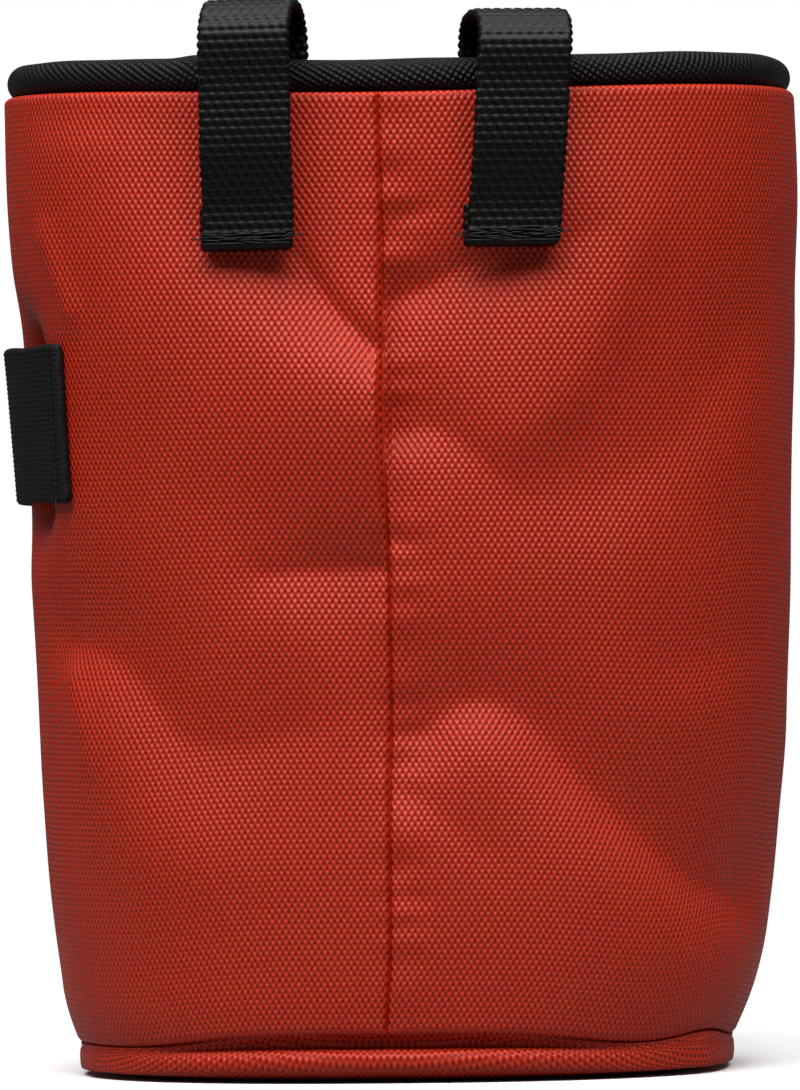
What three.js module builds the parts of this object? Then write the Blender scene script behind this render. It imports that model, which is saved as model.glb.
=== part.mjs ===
// A climbing chalk bag: an oval tube of heavy woven nylon sewn down the back, standing on a shallow oval
// bottom, with a bound hoop round its mouth, two belt loops over the hoop and an elastic band for a brush.
// +Z is up, the back with its seam faces -Y, and the origin is the middle of the underside.

import * as THREE from 'three';

// Wall, in millimetres. Widths and depths are outside sizes.
const mouthWidth = 142;
const mouthDepth = 102;
const planSquareness = 2.4;
const wallHeight = 175.1;
const backDip = 2.5;
const backDipReach = 60;
const topTilt = 0.3;
const wallThickness = 1.5;
const hemThickness = 2.4;
const hemHeight = 6;
const foldHeight = 3;
const foldReach = 16;
const foldFade = 11;
const foldSteps = 6;
const seamHold = 0.012;
const seamEase = 1.5;
const grooveDepth = 0.9;
const grooveHalfWidth = 1.1;
const clearance = 0.3;

// Bottom. The seam is the wall's lower edge, which lifts in the middle of the back and at its +X corner.
const seamHeight = 6;
const seamLift = 2.6;
const seamLiftHalfWidth = 42;
const cornerLift = 1.8;
const cornerPlace = 72;
const cornerHalfWidth = 13;
const baseThickness = 1.6;
const baseLipHeight = 8;
const baseFootInset = 10;
const baseFlush = 0.3;

// Hoop round the mouth, under a binding whose tail goes down inside the wall.
const rimRadius = 3.2;
const rimInset = 3.9;
const rimSwell = 0.5;
const rimSwellHalfWidth = 3.5;
const rimSwellPlace = -33;
const rimSwellLift = 0.6;
const bindingThickness = 1.5;
const bindingTail = 9;

// Belt loops of flat webbing. Places are measured round the wall from the back seam.
const webbingWidth = 16;
const webbingThickness = 1.6;
const loopBottomHeight = 145.2;
const loopFoldUnder = 7.5;
const loopSlack = 1.6;
const loopRearSlack = 2.2;
const loopArchDrop = 4;
const loopRearTail = 8;
const leftLoop = { name: 'belt_loop_left', place: -22, rise: 9.7, lean: 0, rearShift: -0.8 };
const rightLoop = { name: 'belt_loop_right', place: 25.8, rise: 7.4, lean: -2.6, rearShift: -2 };

// Brush band of elastic round the left side, standing off a dent in the wall.
const bandHeight = 27.8;
const bandMiddleHeight = 116.2;
const bandThickness = 1.5;
const bandStart = -62;
const bandLength = 58.6;
const bandTab = 6;
const bandBow = 0.6;
const bandLean = 0.8;
const dentFromStart = 21;
const dentDepth = 8;
const dentHalfWidth = 10.5;
const dentHalfHeight = 19.5;

// Facets
const columnsRound = 64;
const wallRows = 23;
const rimArcSteps = 9;
const strapSteps = 44;
const bandSteps = 22;

// Sections of the wall. up is a share of wallHeight, the others are shares of the mouth's width and depth.
const sections = [
  { up: 0.0, width: 0.786, depth: 0.905, shift: -0.009 },
  { up: 0.04, width: 0.834, depth: 0.93, shift: -0.008 },
  { up: 0.07, width: 0.863, depth: 0.945, shift: -0.006 },
  { up: 0.11, width: 0.886, depth: 0.957, shift: -0.002 },
  { up: 0.18, width: 0.911, depth: 0.968, shift: 0.0 },
  { up: 0.28, width: 0.93, depth: 0.976, shift: 0.001 },
  { up: 0.39, width: 0.948, depth: 0.984, shift: 0.004 },
  { up: 0.49, width: 0.961, depth: 0.99, shift: 0.004 },
  { up: 0.58, width: 0.969, depth: 0.994, shift: 0.002 },
  { up: 0.69, width: 0.977, depth: 0.997, shift: 0.001 },
  { up: 0.79, width: 0.986, depth: 0.999, shift: 0.001 },
  { up: 0.89, width: 1.0, depth: 1.0, shift: 0.0 },
  { up: 1.0, width: 1.0, depth: 1.0, shift: -0.003 },
];

// Outside of the bottom, from the floor to the seam: rise is a share of the seam's height, lifted a share of
// its lift there, and inset a share of the foot's.
const baseProfile = [
  { rise: 0.0, lifted: 0.0, inset: 1.0 },
  { rise: 0.09, lifted: 0.0, inset: 0.6 },
  { rise: 0.2, lifted: 0.0, inset: 0.3 },
  { rise: 0.36, lifted: 0.05, inset: 0.1 },
  { rise: 0.58, lifted: 0.3, inset: 0.05 },
  { rise: 0.84, lifted: 0.85, inset: 0.11 },
];

// Folds. A line's points are [around, up]: around is a share of half the way round, from the back seam to the
// front, and positive towards +X; up is a share of wallHeight. start and end are shares of foldHeight, and
// negative for a valley. left and right, the reach on each side of the line as it runs, are shares of
// foldReach. A power of 2 makes a soft fold, and one near 1 a sharp crease.
const folds = [
  {
    line: [[-0.265, 0.9], [-0.235, 0.86], [-0.195, 0.8], [-0.14, 0.745], [-0.08, 0.705], [-0.01, 0.685]],
    start: 0.45,
    end: 1.25,
    left: 0.8,
    right: 1.6,
    power: 2.0,
  },
  {
    line: [[-0.07, 0.82], [-0.045, 0.775], [-0.008, 0.732]],
    start: -0.3,
    end: -0.8,
    left: 0.16,
    right: 0.35,
    power: 1.3,
  },
  {
    line: [[0.0, 0.775], [0.035, 0.79], [0.06, 0.805], [0.105, 0.82], [0.15, 0.83], [0.195, 0.85]],
    start: -1.3,
    end: -0.3,
    left: 0.45,
    right: 0.5,
    power: 1.3,
  },
  {
    line: [[0.12, 0.655], [0.155, 0.69], [0.185, 0.755], [0.215, 0.835]],
    start: 0.6,
    end: 0.6,
    left: 1.0,
    right: 0.5,
    power: 2.0,
  },
  { line: [[0.0, 0.905], [0.02, 0.912]], start: -0.2, end: -0.1, left: 0.15, right: 0.15, power: 1.5 },
  { line: [[0.0, 0.848], [0.045, 0.87]], start: -0.5, end: -0.2, left: 0.3, right: 0.22, power: 1.4 },
  {
    line: [[0.0, 0.655], [0.04, 0.652], [0.08, 0.625], [0.11, 0.59]],
    start: -1.1,
    end: -0.3,
    left: 0.8,
    right: 0.45,
    power: 1.3,
  },
  { line: [[0.0, 0.545], [0.035, 0.52]], start: -0.3, end: -0.12, left: 0.3, right: 0.22, power: 1.3 },
  {
    line: [[-0.11, 0.509], [-0.07, 0.511], [-0.005, 0.513]],
    start: -0.8,
    end: -0.9,
    left: 0.5,
    right: 0.5,
    power: 1.2,
  },
  {
    line: [[-0.11, 0.5], [-0.08, 0.433], [-0.045, 0.357]],
    start: 0.5,
    end: 0.3,
    left: 0.5,
    right: 0.8,
    power: 2.0,
  },
  {
    line: [[-0.34, 0.445], [-0.28, 0.43], [-0.235, 0.395], [-0.2, 0.35], [-0.15, 0.335], [-0.09, 0.35]],
    start: -1.1,
    end: -0.4,
    left: 0.9,
    right: 0.6,
    power: 1.4,
  },
  {
    line: [[-0.32, 0.41], [-0.28, 0.33], [-0.235, 0.245], [-0.18, 0.22]],
    start: 0.4,
    end: 0.3,
    left: 0.8,
    right: 0.7,
    power: 2.0,
  },
  {
    line: [
      [0.03, 0.352], [0.055, 0.374], [0.088, 0.379], [0.126, 0.358],
      [0.172, 0.305], [0.234, 0.25], [0.3, 0.2], [0.385, 0.18],
    ],
    start: -1.2,
    end: -1.1,
    left: 0.9,
    right: 0.45,
    power: 1.5,
  },
  {
    line: [[0.0, 0.298], [0.028, 0.283], [0.08, 0.231]],
    start: -0.4,
    end: -0.15,
    left: 0.4,
    right: 0.25,
    power: 1.4,
  },
  { line: [[0.0, 0.209], [0.028, 0.182]], start: -0.25, end: -0.1, left: 0.3, right: 0.22, power: 1.4 },
  {
    line: [[0.19, 0.59], [0.235, 0.62], [0.285, 0.667], [0.335, 0.737]],
    start: -0.35,
    end: -0.35,
    left: 0.8,
    right: 0.5,
    power: 1.8,
  },
  { line: [[-0.33, 0.85], [-0.3, 0.777]], start: 0.25, end: 0.25, left: 0.2, right: 0.2, power: 2.0 },
  { line: [[-0.33, 0.405], [-0.3, 0.325]], start: 0.2, end: 0.1, left: 0.2, right: 0.2, power: 2.0 },
  { line: [[0.27, 0.417], [0.35, 0.436]], start: -0.25, end: -0.2, left: 0.7, right: 0.4, power: 1.8 },
  {
    line: [[0.6, 0.74], [0.7, 0.66], [0.8, 0.64]],
    start: 0.3,
    end: 0.6,
    left: 0.5,
    right: 1.1,
    power: 2.0,
  },
  {
    line: [[0.6, 0.33], [0.72, 0.28], [0.84, 0.34]],
    start: 0.4,
    end: 0.6,
    left: 0.5,
    right: 1.2,
    power: 2.0,
  },
  {
    line: [[0.96, 0.72], [-0.88, 0.64], [-0.74, 0.7]],
    start: 0.6,
    end: 0.4,
    left: 0.4,
    right: 1.1,
    power: 2.0,
  },
  {
    line: [[-0.92, 0.36], [-0.78, 0.28], [-0.62, 0.33]],
    start: 0.5,
    end: 0.5,
    left: 0.5,
    right: 1.2,
    power: 2.0,
  },
];

const sectionAt = new THREE.CubicInterpolant(
  sections.map((row) => row.up),
  sections.flatMap((row) => [row.width, row.depth, row.shift]),
  3,
);

// One rounded-oval outline in plan, measured from the back (-Y) towards +X
function planPoint(angle, halfWidth, halfDepth) {
  const across = Math.sin(angle);
  const along = -Math.cos(angle);
  const reachAcross = (Math.abs(across) / halfWidth) ** planSquareness;
  const reachAlong = (Math.abs(along) / halfDepth) ** planSquareness;
  const radius = (reachAcross + reachAlong) ** (-1 / planSquareness);
  return new THREE.Vector2(across * radius, along * radius);
}

// Distances round the mouth from the back to the side, at equal steps of angle
const quarterSteps = 240;
const quarterLengths = [0];
for (let step = 1; step <= quarterSteps; step += 1) {
  const before = planPoint(((step - 1) / quarterSteps) * (Math.PI / 2), mouthWidth / 2, mouthDepth / 2);
  const after = planPoint((step / quarterSteps) * (Math.PI / 2), mouthWidth / 2, mouthDepth / 2);
  quarterLengths.push(quarterLengths[step - 1] + before.distanceTo(after));
}
const halfRound = 2 * quarterLengths[quarterSteps];

// The plan angle at a share of half the way round, from -1 to 1
function planAngle(around) {
  const beyondSide = Math.abs(around) > 0.5;
  const length = (beyondSide ? 1 - Math.abs(around) : Math.abs(around)) * halfRound;
  let step = quarterLengths.findIndex((value) => value >= length);
  step = Math.max(step, 1);
  const part = (length - quarterLengths[step - 1]) / (quarterLengths[step] - quarterLengths[step - 1]);
  const angle = ((step - 1 + part) / quarterSteps) * (Math.PI / 2);
  return Math.sign(around) * (beyondSide ? Math.PI - angle : angle);
}

function wrapAround(around) {
  return around - 2 * Math.round(around / 2);
}

function bell(distance, halfWidth) {
  return Math.exp(-((distance / halfWidth) ** 2));
}

// Flatter in the middle and steeper at the edge than a bell
function plateau(distance, halfWidth) {
  return Math.exp(-((distance / halfWidth) ** 4));
}

function wallTop(around) {
  return wallHeight - backDip * bell(around * halfRound, backDipReach) - topTilt * Math.sin(Math.PI * around);
}

// The share of the seam's lift in the middle of the back
function archShare(around) {
  return plateau(around * halfRound, seamLiftHalfWidth);
}

function wallBottom(around) {
  const corner = cornerLift * bell(around * halfRound - cornerPlace, cornerHalfWidth);
  return seamHeight + seamLift * archShare(around) + corner;
}

// Distance round the wall from the back seam, on the same turn as the place given as home
function unrolled(around, home) {
  return (home + wrapAround(around - home)) * halfRound;
}

// Each fold's line on the unrolled wall, smoothed
const foldCurves = folds.map(({ line }) => {
  const [[home]] = line;
  const corners = line.map(([around, up]) => new THREE.Vector3(unrolled(around, home), up * wallHeight, 0));
  return new THREE.CatmullRomCurve3(corners).getPoints((line.length - 1) * foldSteps);
});

// How far a fold pushes the wall out at a place
function foldPush(fold, curve, around, height) {
  const place = new THREE.Vector3(unrolled(around, fold.line[0][0]), height, 0);
  const spans = curve.length - 1;
  let push = 0;
  let weights = 0;
  for (let span = 0; span < spans; span += 1) {
    const segment = new THREE.Line3(curve[span], curve[span + 1]);
    const part = segment.closestPointToPointParameter(place, true);
    const offset = place.clone().sub(segment.at(part, new THREE.Vector3()));
    const distance = offset.length();
    const run = segment.delta(new THREE.Vector3()).normalize();
    const side = distance > 0 ? run.cross(offset).z / distance : 0;
    const reach = foldReach * THREE.MathUtils.lerp(fold.right, fold.left, (1 + side) / 2);
    const size = THREE.MathUtils.lerp(fold.start, fold.end, (span + part) / spans);
    const weight = 1 / (1 + distance ** 2) ** 5;
    push += weight * size * Math.exp(-((distance / reach) ** fold.power));
    weights += weight;
  }
  return (foldHeight * push * seamSide(fold, place.x)) / weights;
}

// A fold that starts or ends at the back seam stays on its own side of it
function seamSide(fold, distance) {
  const places = fold.line.map(([around]) => around);
  if (Math.min(...places.map(Math.abs)) >= seamHold) {
    return 1;
  }
  const total = places.reduce((sum, around) => sum + around, 0);
  return THREE.MathUtils.smoothstep(Math.sign(total) * distance, -seamEase, seamEase);
}

// All that moves the wall off its plain oval: the folds and the dent behind the brush band
function relief(around, height) {
  const toEdge = Math.min(wallTop(around) - height, height - wallBottom(around));
  const fade = THREE.MathUtils.smoothstep(toEdge, 0, foldFade);
  const pushes = folds.map((fold, number) => foldPush(fold, foldCurves[number], around, height));
  const pushed = pushes.reduce((sum, push) => sum + push, 0);
  const dentPlace = bandStart - dentFromStart;
  const besideDent = wrapAround(around - dentPlace / halfRound) * halfRound;
  const dentShare = bell(besideDent, dentHalfWidth) * plateau(height - bandMiddleHeight, dentHalfHeight);
  return fade * (pushed - dentDepth * dentShare);
}

// The plain oval's point and outward direction at a height
function ovalPlace(around, height) {
  const [width, depth, shift] = sectionAt.evaluate(height / wallHeight);
  const halfWidth = (width * mouthWidth) / 2;
  const halfDepth = (depth * mouthDepth) / 2;
  const point = planPoint(planAngle(around), halfWidth, halfDepth);
  const slopeX = Math.sign(point.x) * Math.abs(point.x) ** (planSquareness - 1) / halfWidth ** planSquareness;
  const slopeY = Math.sign(point.y) * Math.abs(point.y) ** (planSquareness - 1) / halfDepth ** planSquareness;
  const out = new THREE.Vector3(slopeX, slopeY, 0).normalize();
  return { point: new THREE.Vector3(point.x + shift * mouthWidth, point.y, height), out };
}

// A point at a distance inside the wall's outer face
function insideWall(around, height, inset) {
  const { point, out } = ovalPlace(around, height);
  return point.addScaledVector(out, relief(around, height) - inset);
}

// Shares of half the way round, with close columns at the seam's groove
function columnShares() {
  const shares = [-2, -0.75, 0, 0.75, 2].map((step) => (step * grooveHalfWidth) / halfRound);
  for (let column = 1; column < columnsRound; column += 1) {
    shares.push(wrapAround((2 * column) / columnsRound));
  }
  return shares.sort((a, b) => a - b);
}
const columns = columnShares();

// A closed body through rings of points. The last ring joins the first, or both ends are closed by fans.
function loft(rings, joined) {
  const count = rings[0].length;
  const points = rings.flat();
  const faces = [];
  const spans = joined ? rings.length : rings.length - 1;
  for (let ring = 0; ring < spans; ring += 1) {
    const next = (ring + 1) % rings.length;
    for (let column = 0; column < count; column += 1) {
      const after = (column + 1) % count;
      const low = ring * count + column;
      const lowAfter = ring * count + after;
      const high = next * count + column;
      const highAfter = next * count + after;
      faces.push(low, lowAfter, highAfter, low, highAfter, high);
    }
  }
  if (!joined) {
    const startMiddle = points.push(middleOf(rings[0])) - 1;
    const endMiddle = points.push(middleOf(rings[rings.length - 1])) - 1;
    const lastRing = (rings.length - 1) * count;
    for (let column = 0; column < count; column += 1) {
      const after = (column + 1) % count;
      faces.push(startMiddle, after, column);
      faces.push(endMiddle, lastRing + column, lastRing + after);
    }
  }
  const geometry = new THREE.BufferGeometry().setFromPoints(points);
  geometry.setIndex(faces);
  geometry.computeVertexNormals();
  return geometry;
}

function middleOf(ring) {
  const sum = ring.reduce((total, point) => total.add(point), new THREE.Vector3());
  return sum.divideScalar(ring.length);
}

function makePiece(name, geometry, color, roughness) {
  const material = new THREE.MeshStandardMaterial({ color, roughness, metalness: 0 });
  const piece = new THREE.Mesh(geometry, material);
  piece.name = name;
  return piece;
}

// Wall: up the outer face, over the rounded hem, down the inner face and round the lower edge
function buildWall() {
  const hemRadius = hemThickness / 2;
  const outerRows = [];
  for (let row = 0; row <= wallRows; row += 1) {
    outerRows.push(row / wallRows);
  }
  const ringAt = (heightOf, inset) =>
    columns.map((around) => {
      const groove = grooveDepth * bell(around * halfRound, grooveHalfWidth);
      return insideWall(around, heightOf(around), Math.max(inset, groove));
    });
  const between = (share) => (around) =>
    THREE.MathUtils.lerp(wallBottom(around), wallTop(around) - hemRadius, share);
  const belowTop = (drop) => (around) => wallTop(around) - drop;
  const hemShare = 1 - hemHeight / wallHeight;
  const rings = outerRows.map((share) => ringAt(between(share), 0));
  for (const turn of [0.25, 0.5, 0.75]) {
    const angle = turn * Math.PI;
    rings.push(ringAt(belowTop(hemRadius * (1 - Math.sin(angle))), hemRadius * (1 - Math.cos(angle))));
  }
  for (const share of outerRows.toReversed()) {
    rings.push(ringAt(between(share), share > hemShare ? hemThickness : wallThickness));
  }
  return makePiece('wall_panel', loft(rings, true), '#a43a28', 0.62);
}

// Bottom: flat underside, a soft bulge under the wall's edge, a lip up inside the wall and a flat floor
function buildBase() {
  const lipInset = wallThickness + clearance * 2;
  const ringAt = (heightOf, inset) =>
    columns.map((around) => {
      const seam = wallBottom(around);
      const height = heightOf(seam);
      return insideWall(around, Math.max(height, seam), inset).setZ(height);
    });
  const profileRing = ({ rise, lifted, inset }) =>
    columns.map((around) => {
      const seam = wallBottom(around);
      const height = rise * seamHeight + lifted * (seam - seamHeight);
      const shown = lifted > 0 ? THREE.MathUtils.lerp(baseFlush, 1, archShare(around)) : 1;
      return insideWall(around, seam, inset * baseFootInset * shown).setZ(height);
    });
  const rings = [
    ringAt(() => 0, baseFootInset + baseThickness),
    ...baseProfile.map(profileRing),
    ringAt((seam) => seam, lipInset),
    ringAt((seam) => seam + baseLipHeight / 2, lipInset),
    ringAt((seam) => seam + baseLipHeight, lipInset),
    ringAt((seam) => seam + baseLipHeight, lipInset + baseThickness),
    ringAt((seam) => seam + baseLipHeight / 2, lipInset + baseThickness),
    ringAt(() => baseThickness + wallThickness, lipInset + baseThickness + wallThickness),
    ringAt(() => baseThickness, baseFootInset + baseThickness * 2),
  ];
  return makePiece('base_panel', loft(rings, false), '#94301f', 0.66);
}

// Lift of the hoop's middle above the wall's top edge, so that it rests on the hem
function rimLift() {
  const reach = rimRadius + hemThickness / 2 + clearance;
  return Math.sqrt(reach ** 2 - (rimInset - hemThickness / 2) ** 2) - hemThickness / 2;
}

// Hoop in its binding: a round roll with a flat tail down inside the hem
function buildRim() {
  const tailOuter = hemThickness + clearance;
  const tailInner = tailOuter + bindingThickness;
  const startAngle = -Math.acos((rimInset - tailOuter) / rimRadius);
  const endAngle = 2 * Math.PI - Math.acos((rimInset - tailInner) / rimRadius);
  const rollPlace = (around, angle) => {
    const swell = rimSwell * bell(around * halfRound - rimSwellPlace, rimSwellHalfWidth);
    const radius = rimRadius + swell;
    return {
      inset: rimInset + swell / 2 - radius * Math.cos(angle),
      height: wallTop(around) + rimLift() + rimSwellLift * swell + radius * Math.sin(angle),
    };
  };
  const ringAt = (placeOf) =>
    columns.map((around) => {
      const { inset, height } = placeOf(around);
      return insideWall(around, wallTop(around), inset).setZ(height);
    });
  const rings = [ringAt((around) => ({ inset: tailOuter, height: wallTop(around) - bindingTail }))];
  for (let step = 0; step <= rimArcSteps; step += 1) {
    const angle = THREE.MathUtils.lerp(startAngle, endAngle, step / rimArcSteps);
    rings.push(ringAt((around) => rollPlace(around, angle)));
  }
  rings.push(ringAt((around) => ({ inset: tailInner, height: wallTop(around) - bindingTail })));
  return makePiece('rim_hoop', loft(rings, true), '#202022', 0.7);
}

// The outline of a strap of even thickness along a path, doubled on its inner side below a height, where a
// second layer lies against the first
function strapOutline(path, thickness, doubledBelow) {
  const outer = [];
  const inner = [];
  for (let step = 0; step <= strapSteps; step += 1) {
    const part = step / strapSteps;
    const place = path.getPointAt(part);
    const along = path.getTangentAt(part);
    const side = new THREE.Vector3(along.y, -along.x);
    const doubled = part < 0.5 && place.y < doubledBelow;
    const innerReach = thickness / 2 + (doubled ? thickness : 0);
    outer.push(place.clone().addScaledVector(side, thickness / 2));
    inner.push(place.clone().addScaledVector(side, -innerReach));
  }
  return new THREE.Shape([...outer, ...inner.reverse()].map((point) => new THREE.Vector2(point.x, point.y)));
}

// Belt loop: up the outside of the wall from its folded end, over the hoop and down inside the binding
function buildLoop({ name, place, rise, lean, rearShift }) {
  const around = place / halfRound;
  const top = wallTop(around);
  const { point: home, out } = ovalPlace(around, top);
  const up = new THREE.Vector3(0, 0, 1);
  const along = new THREE.Vector3().crossVectors(up, out);
  const halfSpread = webbingWidth / 2 + webbingThickness + Math.max(Math.abs(lean), Math.abs(rearShift));
  const wallReaches = (height) =>
    [-1, -0.75, -0.5, -0.25, 0, 0.25, 0.5, 0.75, 1].map((share) => {
      const beside = around + (share * halfSpread) / halfRound;
      return insideWall(beside, height, 0).sub(home).dot(out);
    });
  const wallOut = (height) => Math.max(...wallReaches(height));
  const wallIn = (height) => Math.min(...wallReaches(height));
  const half = webbingThickness / 2;
  const foldTop = loopBottomHeight + loopFoldUnder;
  const foldedHeights = [0, 0.25, 0.5, 0.75, 1].map((share) => loopBottomHeight + share * loopFoldUnder);
  const seated = Math.max(...foldedHeights.map(wallOut)) + clearance + webbingThickness + half;
  const middle = (foldTop + top) / 2;
  const rimTop = top + rimLift() + rimRadius;
  const archTop = rimTop + rise - half;
  const archShoulder = archTop - loopArchDrop;
  const rimInner = rimInset + rimRadius + rimSwell;
  const rearOut = wallIn(top) - rimInner - clearance - loopRearSlack - half;
  const tailInner = hemThickness + bindingThickness + rimSwell / 2 + clearance * 2;
  const tailOut = wallIn(top) - tailInner - half;
  const front = seated + loopSlack;
  const path = new THREE.CatmullRomCurve3([
    new THREE.Vector3(seated, loopBottomHeight),
    new THREE.Vector3(seated, foldTop),
    new THREE.Vector3(front, middle),
    new THREE.Vector3(front, top),
    new THREE.Vector3(front, archShoulder),
    new THREE.Vector3(front - loopArchDrop, archTop),
    new THREE.Vector3(rearOut + loopArchDrop, archTop),
    new THREE.Vector3(rearOut, archShoulder),
    new THREE.Vector3(rearOut, top + rimLift()),
    new THREE.Vector3(tailOut, top - rimRadius),
    new THREE.Vector3(tailOut, top - loopRearTail),
  ]);
  const outline = strapOutline(path, webbingThickness, foldTop);
  const geometry = new THREE.ExtrudeGeometry(outline, { depth: webbingWidth, bevelEnabled: false });
  const positions = geometry.getAttribute('position');
  for (let index = 0; index < positions.count; index += 1) {
    const drop = (archTop - positions.getY(index)) / (archTop - loopBottomHeight);
    const rearShare = THREE.MathUtils.smoothstep(-positions.getX(index), -front, -rearOut);
    const shift = THREE.MathUtils.lerp(lean * drop, rearShift, rearShare);
    positions.setZ(index, positions.getZ(index) - shift);
  }
  geometry.computeVertexNormals();
  const piece = makePiece(name, geometry, '#1d1d1e', 0.72);
  const turn = new THREE.Matrix4().makeBasis(out, up, along.clone().negate());
  piece.quaternion.setFromRotationMatrix(turn);
  piece.position.copy(home).setZ(0).addScaledVector(along, webbingWidth / 2);
  return piece;
}

// Brush band: sewn flat to the wall at both ends and bowed out between them
function buildBand() {
  const seat = clearance + bandThickness / 2;
  const startAround = bandStart / halfRound;
  const endAround = (bandStart - bandLength) / halfRound;
  const tabShare = bandTab / bandLength;
  const heights = [-0.5, -0.25, 0, 0.25, 0.5].map((share) => bandMiddleHeight + share * bandHeight);
  const lift = (part, height) => {
    const around = THREE.MathUtils.lerp(startAround, endAround, part);
    const tabAround = (end) => THREE.MathUtils.lerp(startAround, endAround, end);
    const atTabs = THREE.MathUtils.lerp(
      relief(tabAround(tabShare), height),
      relief(tabAround(1 - tabShare), height),
      THREE.MathUtils.smoothstep(part, tabShare, 1 - tabShare),
    );
    const share = THREE.MathUtils.clamp((part - tabShare) / (1 - 2 * tabShare), 0, 1);
    const bow = (bandBow + (bandLean * (height - bandMiddleHeight)) / bandHeight) * Math.sin(Math.PI * share);
    return Math.max(atTabs + bow, relief(around, height)) + seat;
  };
  const rings = [];
  for (let step = 0; step <= bandSteps; step += 1) {
    const part = step / bandSteps;
    const around = THREE.MathUtils.lerp(startAround, endAround, part);
    const placeAt = (height, side) => {
      const { point, out } = ovalPlace(around, height);
      return point.addScaledVector(out, lift(part, height) + (side * bandThickness) / 2);
    };
    const outer = heights.map((height) => placeAt(height, 1));
    const inner = heights.map((height) => placeAt(height, -1)).reverse();
    rings.push([...outer, ...inner]);
  }
  return makePiece('brush_band', loft(rings, false), '#19191b', 0.78);
}

const chalkBag = new THREE.Group();
chalkBag.add(
  buildWall(),
  buildBase(),
  buildRim(),
  buildLoop(leftLoop),
  buildLoop(rightLoop),
  buildBand(),
);

export default chalkBag;
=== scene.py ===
"""The looks of a climbing chalk bag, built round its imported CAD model.

The bag stands on its oval bottom with its sewn back towards -Y. The shape classes work in millimetres, like
the part's own sizes, and each mesh is brought to metres when its points are set.
"""

import logging
import math
import random
from collections.abc import Callable, Sequence
from dataclasses import dataclass, field
from enum import Enum
from functools import cached_property
from itertools import pairwise
from typing import NamedTuple

import bmesh
import bpy
import numpy as np
from mathutils import Matrix, Vector


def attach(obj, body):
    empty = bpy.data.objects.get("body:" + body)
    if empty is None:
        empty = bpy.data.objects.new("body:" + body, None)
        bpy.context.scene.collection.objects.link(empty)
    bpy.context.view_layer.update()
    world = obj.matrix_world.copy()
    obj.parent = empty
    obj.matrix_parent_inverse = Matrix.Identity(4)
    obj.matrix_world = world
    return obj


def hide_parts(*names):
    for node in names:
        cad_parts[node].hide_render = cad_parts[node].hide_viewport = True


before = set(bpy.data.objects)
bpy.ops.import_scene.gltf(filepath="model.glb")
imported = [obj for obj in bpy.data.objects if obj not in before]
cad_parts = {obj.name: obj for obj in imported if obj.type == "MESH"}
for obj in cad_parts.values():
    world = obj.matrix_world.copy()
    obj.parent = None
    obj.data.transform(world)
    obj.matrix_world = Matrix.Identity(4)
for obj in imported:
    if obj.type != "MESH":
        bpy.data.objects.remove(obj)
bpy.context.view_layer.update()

log = logging.getLogger("chalk_bag")

METRES = 0.001
CLOTH_MAP = "cloth_mm"
BODY = "root"

# Most of a noise node's values lie between these.
NOISE_LOW, NOISE_HIGH = 0.25, 0.75
# Keeps a division by a distance of nothing from failing.
TINY = 1e-9

Array = np.ndarray
Links = bpy.types.NodeSocket | float | tuple[float, ...]


class Slot(Enum):
    """The record's material slots."""

    NYLON = "orange_ballistic_nylon"
    BINDING = "black_rim_binding"
    WEBBING = "black_webbing"
    ELASTIC = "black_elastic"


class Section(NamedTuple):
    """A level of the wall: up is a share of its height, the others are shares of the mouth's size."""

    up: float
    width: float
    depth: float
    shift: float


class Fold(NamedTuple):
    """A fold of the wall: a ridge where its sizes are positive, a valley where they are negative.

    The line's points are (around, up): shares of half the way round from the back seam, positive towards +X,
    and of the wall's height. start and end are shares of the fold height at the line's ends, and left and
    right are shares of the fold reach on either side of the line as it runs. A power of 2 makes a soft fold,
    one near 1 a sharp crease.
    """

    line: tuple[tuple[float, float], ...]
    start: float
    end: float
    left: float
    right: float
    power: float


SECTIONS = (
    Section(0.0, 0.786, 0.905, -0.009),
    Section(0.04, 0.834, 0.93, -0.008),
    Section(0.07, 0.863, 0.945, -0.006),
    Section(0.11, 0.886, 0.957, -0.002),
    Section(0.18, 0.911, 0.968, 0.0),
    Section(0.28, 0.93, 0.976, 0.001),
    Section(0.39, 0.948, 0.984, 0.004),
    Section(0.49, 0.961, 0.99, 0.004),
    Section(0.58, 0.969, 0.994, 0.002),
    Section(0.69, 0.977, 0.997, 0.001),
    Section(0.79, 0.986, 0.999, 0.001),
    Section(0.89, 1.0, 1.0, 0.0),
    Section(1.0, 1.0, 1.0, -0.003),
)

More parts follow.
